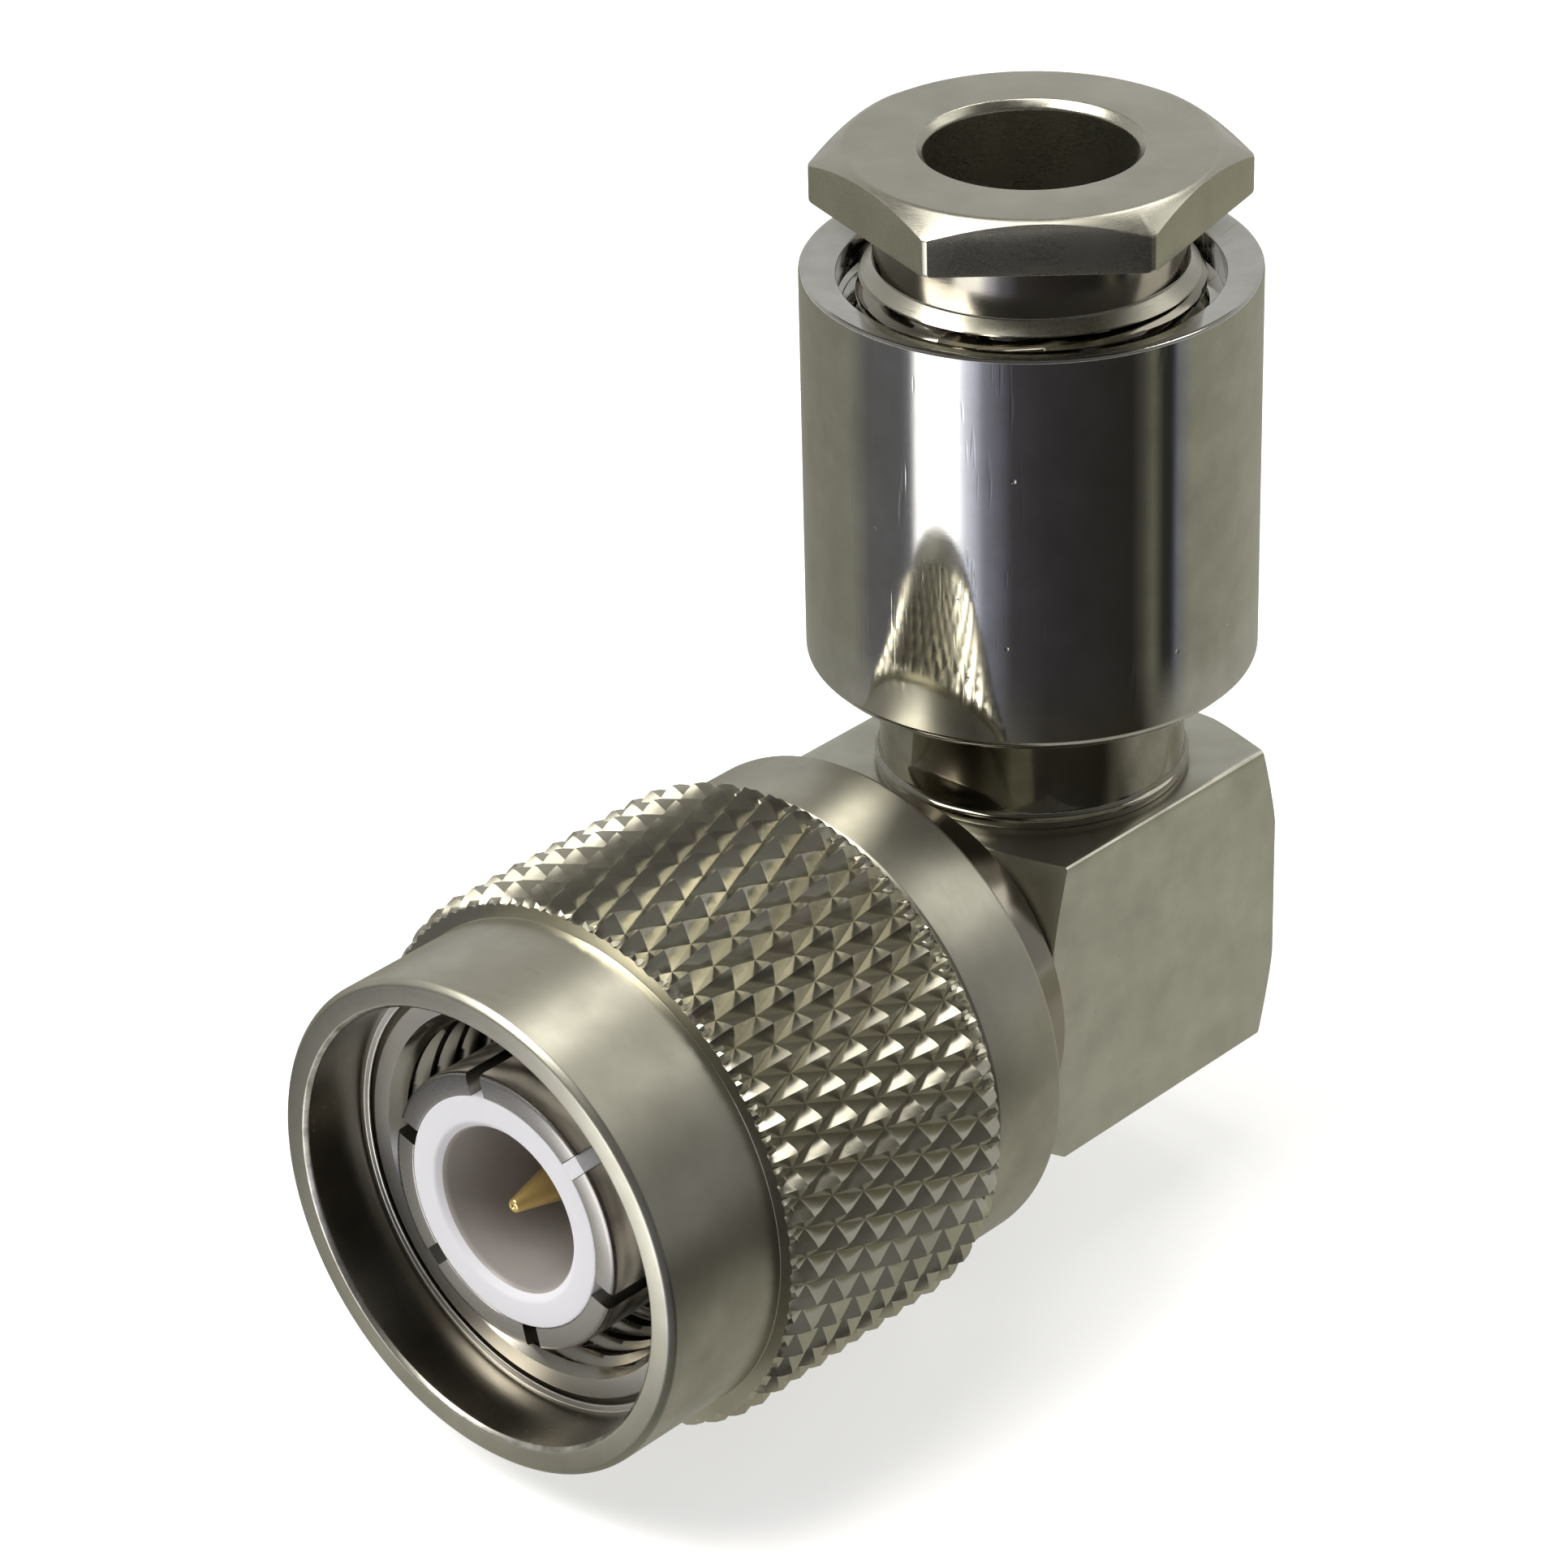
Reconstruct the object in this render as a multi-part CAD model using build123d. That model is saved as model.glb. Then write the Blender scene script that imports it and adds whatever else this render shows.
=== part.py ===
from build123d import *
import os
from math import cos, pi, radians, sin, tan

# Right-angle clamp plug for coaxial cable, with a knurled screw-on coupling nut.
# Frame: origin on the mating axis at the front end of the outer contact.
# +X is the mating direction, +Z is the way the cable leaves. Lengths are in millimetres.
# Distances along the mating axis are given from the cable axis, and turned into x by front().

# Overall layout
REACH = 22.30               # cable axis to the front end of the outer contact

# Fits
RUN_GAP = 0.07              # radial clearance of a turning fit
FACE_GAP = 0.10             # axial clearance beside a turning piece
LOOSE_GAP = 0.12            # radial clearance of pieces dropped into the barrel
EDGE = 0.15                 # small broken edge

# Angle block, cut from square bar, its two ends turned to a shallow cone
BLOCK_WIDTH = 10.25         # across Y
BLOCK_HEIGHT = 9.75         # across Z
BLOCK_FRONT = 5.20          # cable axis to the front face
BLOCK_REAR = 5.15           # cable axis to the rear face
END_FLAT_RADIUS = 5.40      # the flat of each end, where the cone begins
END_CONE_DEG = 23.5         # slope of the turned cone
CAVITY_RADIUS = 3.40        # cross bore along the mating axis

# Front body: a turned sleeve pressed in the block's front
SPIGOT_RADIUS = 4.30        # the part pressed in the block
SPIGOT_LENGTH = 1.50
FLANGE_RADIUS = 5.65
FLANGE_LENGTH = 2.40        # block face to the coupling nut's seat
SLEEVE_RADIUS = 5.00        # the coupling nut turns on it
SLEEVE_LENGTH = 4.50        # in front of the flange
CONTACT_SEAT = 3.40         # how deep the outer contact sits in the sleeve

# Coupling nut
NUT_LENGTH = 15.77
NUT_REAR_RADIUS = 7.62
NUT_REAR_LENGTH = 2.97      # plain ring behind the knurl
NUT_FRONT_RADIUS = 7.43
NUT_FRONT_BEVEL = 0.30
KNURL_LENGTH = 8.57
KNURL_RADIUS = 8.20         # over the points
KNURL_DEPTH = 0.46
KNURL_TEETH = 54            # diamonds round the nut
KNURL_PITCH = 2.38          # one diamond along the axis
KNURL_END_BEVEL = 0.34      # the turned bevel at each end of the knurl
KNURL_GROOVE = 0.28         # narrow turned groove behind the knurl
KNURL_SHELL = 0.45          # how deep the knurled band reaches into the nut blank
THREAD_RADIUS = 5.20        # inner radius of the coupling thread
THREAD_DEPTH = 0.36         # also the bevel where the thread starts
THREAD_LENGTH = 7.20
RELIEF_RADIUS = 5.70        # run-out behind the thread
MOUTH_DEPTH = 2.25          # smooth counterbore in front of the thread
MOUTH_RADIUS = 6.55
MOUTH_BEVEL = 0.12
MOUTH_RING = 0.20           # narrow ring round the counterbore's floor, with a fine groove inside it
NUT_LIP = 2.10              # inward lip that turns on the sleeve
RING_THICKNESS = 0.80       # retaining ring
RING_GROOVE_DEPTH = 0.50    # groove in the sleeve
RING_STAND = 0.50           # how far the ring stands out of the sleeve
RING_SPLIT = 1.20
LAND_LENGTH = 0.80          # wall of the nut in front of the ring

# Outer contact
CONTACT_RADIUS = 4.18
CONTACT_SEAT_RADIUS = 3.85  # behind the gasket and in the sleeve
INSULATOR_RADIUS = 3.49     # also the contact's bore
SLOT_COUNT = 6
SLOT_WIDTH = 0.55
SLOT_LENGTH = 4.30
SLOT_FIRST_DEG = 43.0       # from +Y towards +Z
FINGER_EDGE = 0.13
GASKET_THICKNESS = 1.20     # interface gasket on the sleeve's front face

# Insulators and the centre contact
SOCKET_RADIUS = 2.45
SOCKET_DEPTH = 8.30
SOCKET_BEVEL = 0.24
KEY_LENGTH = 2.20           # insulator's key in one slot of the contact
KEY_GAP = 0.04
INSULATOR_REAR = 6.00       # cable axis to the back of the front insulator
PIN_RADIUS = 0.67
PIN_ROOT_RADIUS = 0.85      # inside the insulator's floor
PIN_ROOT_LENGTH = 1.60
PIN_SETBACK = 0.38          # pin tip behind the outer contact's front end
PIN_TAPER = 2.20
PIN_TIP_RADIUS = 0.19
PIN_TIP_HOLE = 0.09
PIN_TIP_HOLE_DEPTH = 0.15
STEM_RADIUS = 1.05          # thicker rear part of the centre contact
STEM_REAR = 1.60            # behind the cable axis
SOLDER_SLOT = 0.95
SOLDER_SLOT_LENGTH = 2.90
CAP_RADIUS = 4.00
CAP_THICKNESS = 1.20
CAP_SHEET = 0.80            # insulating disc inside the cap

# Cable barrel, pressed in the block's top
NECK_RADIUS = 4.45
NECK_TOP = 8.43             # height of the barrel's shoulder above the mating axis
BARREL_SPIGOT_RADIUS = 3.60
COLLAR_RADIUS = 4.55        # small collar where the neck meets the block
COLLAR_HEIGHT = 0.32
BARREL_RADIUS = 6.53
BARREL_LENGTH = 12.16
BARREL_BEVEL = 0.28         # on the barrel's lower edge
BARREL_FLOOR = 1.80         # thickness of the barrel's floor
CHAMBER_RADIUS = 5.00       # inner radius of the barrel's thread
RIM_BORE_RADIUS = 5.48      # clear bore in front of the thread
RIM_BORE_DEPTH = 1.10
RIM_DROP = 0.22             # how far the rim's face falls towards its bore
CORE_BORE_RADIUS = 2.20     # passage from the barrel to the cross bore
CORE_WALL = 0.65            # wall of the cable insulator

# Cable clamp stack in the barrel
CABLE_HOLE_RADIUS = 3.00    # hole of the clamp nut
CLAMP_HEIGHT = 2.60         # braid clamp
CLAMP_HOLE_RADIUS = 1.80
CLAMP_NOSE_RADIUS = 3.40
RIDGE_HEIGHT = 0.45         # ridge that bites the gasket
GASKET_HEIGHT = 3.10
GASKET_HOLE_RADIUS = 2.65
WASHER_HEIGHT = 0.80
WASHER_HOLE_RADIUS = 2.75
STEM_THREAD_LENGTH = 3.75   # threaded part of the clamp nut
CLAMP_NECK_RADIUS = 4.45
SHOULDER_HEIGHT = 0.34      # coned shoulder between the stem's thread and its neck
HEX_GAP = 1.98              # from the barrel's rim to the hexagon
HEX_ACROSS_FLATS = 10.80
HEX_THICKNESS = 1.58
HEX_CORNER_RADIUS = 6.19    # the corners are turned down to this
HEX_TOP_FLAT_RADIUS = 5.25
HEX_CONE_DEG = 28.0
HEX_TURN_DEG = 12.5         # how the hexagon stands in the photo
CABLE_HOLE_BEVEL = 0.22

# Places along the mating axis, from the cable axis
flange_front = BLOCK_FRONT + FLANGE_LENGTH
sleeve_front = flange_front + SLEEVE_LENGTH
nut_rear = flange_front + FACE_GAP
nut_front = nut_rear + NUT_LENGTH
knurl_rear = nut_rear + NUT_REAR_LENGTH
knurl_front = knurl_rear + KNURL_LENGTH
ring_rear = nut_rear + NUT_LIP + FACE_GAP
ring_front = ring_rear + RING_THICKNESS
mouth_floor = nut_front - MOUTH_DEPTH
thread_rear = mouth_floor - THREAD_LENGTH
land_front = ring_front + FACE_GAP + LAND_LENGTH
contact_rear = sleeve_front - CONTACT_SEAT
pin_tip = REACH - PIN_SETBACK
socket_floor = REACH - SOCKET_DEPTH
stem_front = socket_floor - PIN_ROOT_LENGTH
gasket_front = sleeve_front + GASKET_THICKNESS
bush_rear = SOLDER_SLOT_LENGTH - STEM_REAR

# Heights above the mating axis
block_top = BLOCK_HEIGHT / 2
rim = NECK_TOP + BARREL_LENGTH
chamber_floor = NECK_TOP + BARREL_FLOOR
clamp_top = chamber_floor + CLAMP_HEIGHT
gasket_top = clamp_top + GASKET_HEIGHT
washer_top = gasket_top + WASHER_HEIGHT
thread_top = washer_top + STEM_THREAD_LENGTH
hex_bottom = rim + HEX_GAP
hex_top = hex_bottom + HEX_THICKNESS
spigot_foot = CAVITY_RADIUS + EDGE

stack_radius = CHAMBER_RADIUS - LOOSE_GAP
hex_corner = HEX_ACROSS_FLATS / 2 / cos(radians(30))


def front(distance):
    """The x of a place given by its distance from the cable axis."""
    return distance - REACH


def turned(outline):
    """Revolve an outline of (distance from the cable axis, radius) about the mating axis."""
    points = [(front(along), radius) for along, radius in outline]
    return revolve(make_face(Polyline(*points, close=True)), axis=Axis.X)


def turned_up(outline):
    """Revolve an outline of (height, radius) about the cable axis."""
    upright = revolve(make_face(Polyline(*outline, close=True)), axis=Axis.X)
    return Pos(-REACH, 0, 0) * Rot(0, -90, 0) * upright


def rod(rear, nose, radius):
    """A plain round bar on the mating axis."""
    return turned([(rear, 0), (nose, 0), (nose, radius), (rear, radius)])


def rod_up(bottom, top, radius):
    """A plain round bar on the cable axis."""
    return turned_up([(bottom, 0), (top, 0), (top, radius), (bottom, radius)])


def angle_block():
    """Square bar with coned ends, a cross bore, and seats for body, barrel and cap."""
    middle = (BLOCK_FRONT - BLOCK_REAR) / 2
    bar = Pos(front(middle), 0, 0) * Box(BLOCK_FRONT + BLOCK_REAR, BLOCK_WIDTH, BLOCK_HEIGHT)
    bar = chamfer(bar.edges().filter_by(Axis.X), EDGE)
    reach_out = BLOCK_WIDTH
    drop = (reach_out - END_FLAT_RADIUS) * tan(radians(END_CONE_DEG))
    ends = turned([
        (-BLOCK_REAR, 0), (BLOCK_FRONT, 0),
        (BLOCK_FRONT, END_FLAT_RADIUS), (BLOCK_FRONT - drop, reach_out),
        (drop - BLOCK_REAR, reach_out), (-BLOCK_REAR, END_FLAT_RADIUS),
    ])
    cross_bore = turned([
        (-BLOCK_REAR, 0), (BLOCK_FRONT, 0),
        (BLOCK_FRONT, SPIGOT_RADIUS), (BLOCK_FRONT - SPIGOT_LENGTH, SPIGOT_RADIUS),
        (BLOCK_FRONT - SPIGOT_LENGTH, CAVITY_RADIUS),
        (CAP_THICKNESS - BLOCK_REAR, CAVITY_RADIUS),
        (CAP_THICKNESS - BLOCK_REAR, CAP_RADIUS), (-BLOCK_REAR, CAP_RADIUS),
    ])
    seat = rod_up(spigot_foot, block_top, BARREL_SPIGOT_RADIUS)
    passage = rod_up(0, block_top, CORE_BORE_RADIUS)
    return (bar & ends) - cross_bore - seat - passage


def cable_barrel():
    """Turned barrel on its neck, with the clamp chamber inside."""
    flare = COLLAR_RADIUS - NECK_RADIUS
    return turned_up([
        (spigot_foot, CORE_BORE_RADIUS), (spigot_foot, BARREL_SPIGOT_RADIUS),
        (block_top, BARREL_SPIGOT_RADIUS), (block_top, COLLAR_RADIUS),
        (block_top + COLLAR_HEIGHT - flare / 2, COLLAR_RADIUS),
        (block_top + COLLAR_HEIGHT, COLLAR_RADIUS - flare / 2),
        (block_top + COLLAR_HEIGHT + flare / 2, NECK_RADIUS),
        (NECK_TOP, NECK_RADIUS), (NECK_TOP, BARREL_RADIUS - BARREL_BEVEL),
        (NECK_TOP + BARREL_BEVEL, BARREL_RADIUS), (rim - EDGE, BARREL_RADIUS),
        (rim, BARREL_RADIUS - EDGE), (rim - RIM_DROP, RIM_BORE_RADIUS),
        (rim - RIM_BORE_DEPTH, RIM_BORE_RADIUS),
        (rim - RIM_BORE_DEPTH - RIM_BORE_RADIUS + CHAMBER_RADIUS, CHAMBER_RADIUS),
        (chamber_floor, CHAMBER_RADIUS), (chamber_floor, CORE_BORE_RADIUS),
    ])


def front_body():
    """Turned sleeve that carries the coupling nut, with a groove for its ring."""
    groove = SLEEVE_RADIUS - RING_GROOVE_DEPTH
    return turned([
        (BLOCK_FRONT - SPIGOT_LENGTH, INSULATOR_RADIUS),
        (BLOCK_FRONT - SPIGOT_LENGTH, SPIGOT_RADIUS), (BLOCK_FRONT, SPIGOT_RADIUS),
        (BLOCK_FRONT, FLANGE_RADIUS), (flange_front - EDGE, FLANGE_RADIUS),
        (flange_front, FLANGE_RADIUS - EDGE), (flange_front, SLEEVE_RADIUS),
        (ring_rear, SLEEVE_RADIUS), (ring_rear, groove),
        (ring_front, groove), (ring_front, SLEEVE_RADIUS),
        (sleeve_front - EDGE, SLEEVE_RADIUS), (sleeve_front, SLEEVE_RADIUS - EDGE),
        (sleeve_front, CONTACT_SEAT_RADIUS), (contact_rear, CONTACT_SEAT_RADIUS),
        (contact_rear, INSULATOR_RADIUS),
    ])


def knurl_point(row, tooth, radius):
    """A corner of the diamond pattern: rows are half a diamond apart along the nut."""
    angle = 2 * pi * tooth / KNURL_TEETH
    middle = (knurl_rear + knurl_front) / 2
    along = front(middle + row * KNURL_PITCH / 2)
    return Vector(along, radius * cos(angle), radius * sin(angle))


def knurl_band():
    """A closed sleeve whose outside is a pattern of four-sided points."""
    valley = KNURL_RADIUS - KNURL_DEPTH
    inner = valley - KNURL_SHELL
    rows = int(KNURL_LENGTH / KNURL_PITCH) + 1
    half = 2 * ((rows + 1) // 2)
    faces = []
    for row in range(-half, half + 1):
        for tooth in range(KNURL_TEETH):
            middle = tooth + (row % 2) / 2
            top = knurl_point(row, middle, KNURL_RADIUS)
            left = knurl_point(row, middle - 0.5, valley)
            right = knurl_point(row, middle + 0.5, valley)
            if row < half:
                ahead = knurl_point(row + 1, middle, valley)
                faces.append(Face(Wire.make_polygon([top, ahead, right])))
                faces.append(Face(Wire.make_polygon([top, left, ahead])))
            if row > -half:
                behind = knurl_point(row - 1, middle, valley)
                faces.append(Face(Wire.make_polygon([top, behind, left])))
                faces.append(Face(Wire.make_polygon([top, right, behind])))
    for row in (-half, half):
        rim_points = []
        for tooth in range(KNURL_TEETH):
            rim_points.append(knurl_point(row, tooth - 0.5, valley))
            rim_points.append(knurl_point(row, tooth, KNURL_RADIUS))
        hole = [knurl_point(row, tooth - 0.5, inner) for tooth in range(KNURL_TEETH)]
        outside = Wire.make_polygon(rim_points)
        faces.append(Face(outside, [Wire.make_polygon(hole)]))
    for tooth in range(KNURL_TEETH):
        faces.append(Face(Wire.make_polygon([
            knurl_point(-half, tooth - 0.5, inner), knurl_point(half, tooth - 0.5, inner),
            knurl_point(half, tooth + 0.5, inner), knurl_point(-half, tooth + 0.5, inner),
        ])))
    return Solid(Shell(faces))




def nut_blank():
    """The coupling nut as it leaves the lathe, before the knurl is rolled on."""
    bore = SLEEVE_RADIUS + RUN_GAP
    core = KNURL_RADIUS - KNURL_DEPTH - KNURL_SHELL / 2
    ring_room = SLEEVE_RADIUS + RING_STAND + RUN_GAP
    groove_outer = MOUTH_RADIUS - MOUTH_RING
    groove_inner = groove_outer - MOUTH_RING
    return turned([
        (nut_rear, bore), (nut_rear, NUT_REAR_RADIUS - EDGE), (nut_rear + EDGE, NUT_REAR_RADIUS),
        (knurl_rear - KNURL_GROOVE, NUT_REAR_RADIUS),
        (knurl_rear - KNURL_GROOVE / 2, NUT_REAR_RADIUS - KNURL_GROOVE / 2),
        (knurl_rear - KNURL_GROOVE / 2, core), (knurl_front, core),
        (knurl_front, NUT_FRONT_RADIUS), (nut_front - NUT_FRONT_BEVEL, NUT_FRONT_RADIUS),
        (nut_front, NUT_FRONT_RADIUS - NUT_FRONT_BEVEL),
        (nut_front, MOUTH_RADIUS + MOUTH_BEVEL), (nut_front - MOUTH_BEVEL, MOUTH_RADIUS),
        (mouth_floor, MOUTH_RADIUS), (mouth_floor, groove_outer),
        (mouth_floor - MOUTH_RING, groove_outer), (mouth_floor - MOUTH_RING, groove_inner),
        (mouth_floor, groove_inner), (mouth_floor, THREAD_RADIUS + THREAD_DEPTH),
        (mouth_floor - THREAD_DEPTH, THREAD_RADIUS), (thread_rear, THREAD_RADIUS),
        (thread_rear - THREAD_DEPTH, RELIEF_RADIUS), (land_front, RELIEF_RADIUS),
        (land_front, bore), (ring_front + FACE_GAP, bore), (ring_front + FACE_GAP, ring_room),
        (ring_rear - FACE_GAP, ring_room), (ring_rear - FACE_GAP, bore),
    ])


def coupling_nut():
    """The nut blank with its knurled band, bevelled at both ends."""
    foot = KNURL_RADIUS - KNURL_DEPTH - KNURL_SHELL
    shoulder = KNURL_RADIUS - KNURL_END_BEVEL
    bevelled = turned([
        (knurl_rear, foot), (knurl_rear, shoulder),
        (knurl_rear + KNURL_END_BEVEL, KNURL_RADIUS + EDGE),
        (knurl_front - KNURL_END_BEVEL, KNURL_RADIUS + EDGE),
        (knurl_front, shoulder), (knurl_front, foot),
    ])
    return nut_blank() + (knurl_band() & bevelled)


def nut_retaining_ring():
    """Split ring in the sleeve's groove that keeps the coupling nut on."""
    inner = SLEEVE_RADIUS - RING_GROOVE_DEPTH
    outer = SLEEVE_RADIUS + RING_STAND
    ring = turned([(ring_rear, inner), (ring_rear, outer), (ring_front, outer), (ring_front, inner)])
    split = Pos(front((ring_rear + ring_front) / 2), 0, -(inner + outer) / 2)
    return ring - split * Box(2 * RING_THICKNESS, RING_SPLIT, 2 * (outer - inner))


def interface_gasket():
    """Flat rubber ring that seals on the mating connector's thread end."""
    return turned([
        (sleeve_front, CONTACT_SEAT_RADIUS), (sleeve_front, SLEEVE_RADIUS),
        (gasket_front, SLEEVE_RADIUS), (gasket_front, CONTACT_SEAT_RADIUS),
    ])


def contact_slot(index, width, length, inner, outer):
    """A bar that fills one slot of the outer contact, from its front end backwards."""
    turn = SLOT_FIRST_DEG + index * 360 / SLOT_COUNT
    bar = Pos(-length / 2, (inner + outer) / 2, 0) * Box(length, outer - inner, width)
    return Rot(turn, 0, 0) * bar


def outer_contact():
    """Slotted spring tube that makes the outer connection."""
    tube = turned([
        (contact_rear, INSULATOR_RADIUS), (contact_rear, CONTACT_SEAT_RADIUS),
        (gasket_front, CONTACT_SEAT_RADIUS), (gasket_front, CONTACT_RADIUS),
        (REACH - FINGER_EDGE, CONTACT_RADIUS), (REACH, CONTACT_RADIUS - FINGER_EDGE),
        (REACH, INSULATOR_RADIUS),
    ])
    for index in range(SLOT_COUNT):
        inner = INSULATOR_RADIUS - EDGE
        tube -= contact_slot(index, SLOT_WIDTH, SLOT_LENGTH, inner, CONTACT_RADIUS + EDGE)
    return tube


def front_insulator():
    """White insulator with a deep socket round the pin and a key in one slot."""
    body = turned([
        (INSULATOR_REAR, STEM_RADIUS), (INSULATOR_REAR, INSULATOR_RADIUS),
        (REACH, INSULATOR_RADIUS), (REACH, SOCKET_RADIUS + SOCKET_BEVEL),
        (REACH - SOCKET_BEVEL, SOCKET_RADIUS), (socket_floor, SOCKET_RADIUS),
        (socket_floor, PIN_ROOT_RADIUS), (stem_front, PIN_ROOT_RADIUS), (stem_front, STEM_RADIUS),
    ])
    key = contact_slot(0, SLOT_WIDTH - KEY_GAP, KEY_LENGTH, SOCKET_RADIUS + SOCKET_BEVEL,
                       CONTACT_RADIUS - KEY_GAP)
    return body + key


def centre_contact():
    """Pin with a blunt tapered nose in front and a slotted solder tail behind."""
    pin = turned([
        (-STEM_REAR, 0), (-STEM_REAR, STEM_RADIUS), (stem_front, STEM_RADIUS),
        (stem_front, PIN_ROOT_RADIUS), (socket_floor, PIN_ROOT_RADIUS),
        (socket_floor, PIN_RADIUS), (pin_tip - PIN_TAPER, PIN_RADIUS),
        (pin_tip, PIN_TIP_RADIUS), (pin_tip, PIN_TIP_HOLE),
        (pin_tip - PIN_TIP_HOLE_DEPTH, 0),
    ])
    slot = Box(SOLDER_SLOT_LENGTH, SOLDER_SLOT, 2 * STEM_RADIUS)
    return pin - Pos(front(SOLDER_SLOT_LENGTH / 2 - STEM_REAR), 0, STEM_RADIUS / 2) * slot


def contact_bush():
    """White bush that holds the stem of the centre contact in the block."""
    return turned([
        (bush_rear, STEM_RADIUS), (bush_rear, CAVITY_RADIUS),
        (BLOCK_FRONT - SPIGOT_LENGTH, CAVITY_RADIUS), (BLOCK_FRONT - SPIGOT_LENGTH, STEM_RADIUS),
    ])


def stem_sleeve():
    """White tube that fills the front body between the bush and the front insulator."""
    return turned([
        (BLOCK_FRONT - SPIGOT_LENGTH, STEM_RADIUS), (BLOCK_FRONT - SPIGOT_LENGTH, INSULATOR_RADIUS),
        (INSULATOR_REAR, INSULATOR_RADIUS), (INSULATOR_REAR, STEM_RADIUS),
    ])


def cable_insulator():
    """White tube that lines the passage through the neck."""
    return turned_up([
        (spigot_foot, CORE_BORE_RADIUS - CORE_WALL), (spigot_foot, CORE_BORE_RADIUS),
        (chamber_floor, CORE_BORE_RADIUS), (chamber_floor, CORE_BORE_RADIUS - CORE_WALL),
    ])


def cap_insulator():
    """White disc behind the solder joint, against the access cap."""
    return rod(CAP_THICKNESS - BLOCK_REAR, CAP_THICKNESS + CAP_SHEET - BLOCK_REAR, CAVITY_RADIUS)


def access_cap():
    """Plain disc pressed in the block's back once the wire is soldered."""
    return turned([
        (-BLOCK_REAR, 0), (CAP_THICKNESS - BLOCK_REAR, 0), (CAP_THICKNESS - BLOCK_REAR, CAP_RADIUS),
        (EDGE - BLOCK_REAR, CAP_RADIUS), (-BLOCK_REAR, CAP_RADIUS - EDGE),
    ])


def braid_clamp():
    """Coned ring that the cable's braid is folded over, with a ridge on top."""
    ridge = (CLAMP_HOLE_RADIUS + stack_radius) / 2
    shoulder = chamber_floor + stack_radius - CLAMP_NOSE_RADIUS
    return turned_up([
        (chamber_floor, CLAMP_HOLE_RADIUS), (chamber_floor, CLAMP_NOSE_RADIUS),
        (shoulder, stack_radius), (clamp_top, stack_radius),
        (clamp_top, ridge + RIDGE_HEIGHT), (clamp_top + RIDGE_HEIGHT, ridge),
        (clamp_top, ridge - RIDGE_HEIGHT), (clamp_top, CLAMP_HOLE_RADIUS),
    ])


def cable_gasket():
    """Rubber ring that grips the cable's jacket when the clamp nut is tightened."""
    ridge = (CLAMP_HOLE_RADIUS + stack_radius) / 2
    return turned_up([
        (clamp_top, GASKET_HOLE_RADIUS), (clamp_top, ridge - RIDGE_HEIGHT),
        (clamp_top + RIDGE_HEIGHT, ridge), (clamp_top, ridge + RIDGE_HEIGHT),
        (clamp_top, stack_radius), (gasket_top, stack_radius), (gasket_top, GASKET_HOLE_RADIUS),
    ])


def thrust_washer():
    """Flat washer that keeps the turning nut off the rubber."""
    return turned_up([
        (gasket_top, WASHER_HOLE_RADIUS), (gasket_top, stack_radius),
        (washer_top, stack_radius), (washer_top, WASHER_HOLE_RADIUS),
    ])


def clamp_nut():
    """Hollow hexagon screw that closes the cable clamp."""
    thread = CHAMBER_RADIUS - RUN_GAP
    shank = turned_up([
        (washer_top, CABLE_HOLE_RADIUS), (washer_top, thread - 2 * EDGE),
        (washer_top + 2 * EDGE, thread), (thread_top, thread),
        (thread_top + SHOULDER_HEIGHT, CLAMP_NECK_RADIUS),
        (hex_bottom, CLAMP_NECK_RADIUS), (hex_bottom, CABLE_HOLE_RADIUS),
    ])
    prism = Pos(-REACH, 0, hex_bottom) * Rot(0, 0, HEX_TURN_DEG) * extrude(
        RegularPolygon(hex_corner, 6), HEX_THICKNESS)
    drop = (HEX_CORNER_RADIUS - HEX_TOP_FLAT_RADIUS) * tan(radians(HEX_CONE_DEG))
    bevelled = turned_up([
        (hex_bottom, CABLE_HOLE_RADIUS), (hex_bottom, HEX_CORNER_RADIUS - EDGE),
        (hex_bottom + EDGE, HEX_CORNER_RADIUS), (hex_top - drop, HEX_CORNER_RADIUS),
        (hex_top, HEX_TOP_FLAT_RADIUS), (hex_top, CABLE_HOLE_RADIUS + CABLE_HOLE_BEVEL),
        (hex_top - CABLE_HOLE_BEVEL, CABLE_HOLE_RADIUS),
    ])
    return shank + (prism & bevelled)


PIECES = {
    "angle_block": angle_block,
    "cable_barrel": cable_barrel,
    "front_body": front_body,
    "outer_contact": outer_contact,
    "front_insulator": front_insulator,
    "centre_contact": centre_contact,
    "contact_bush": contact_bush,
    "stem_sleeve": stem_sleeve,
    "cable_insulator": cable_insulator,
    "cap_insulator": cap_insulator,
    "access_cap": access_cap,
    "coupling_nut": coupling_nut,
    "nut_retaining_ring": nut_retaining_ring,
    "interface_gasket": interface_gasket,
    "braid_clamp": braid_clamp,
    "cable_gasket": cable_gasket,
    "thrust_washer": thrust_washer,
    "clamp_nut": clamp_nut,
}

os.makedirs("parts", exist_ok=True)
for name, make in PIECES.items():
    piece = make()
    piece.label = name
    export_step(piece, f"parts/{name}.step")
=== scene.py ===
"""Looks of a right-angle coaxial clamp plug: its pieces, their finishes and the studio.

The sizes of its pieces are in millimetres and the angles in degrees. Places along the mating
axis are counted from the cable axis, and heights from the mating axis. Meshes are in metres.
"""

import logging
import math
from dataclasses import dataclass, field
from enum import Enum
from typing import Any, Callable, Iterable, Mapping, Sequence, Union

import bmesh
import bpy
from mathutils import Matrix, Vector

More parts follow.
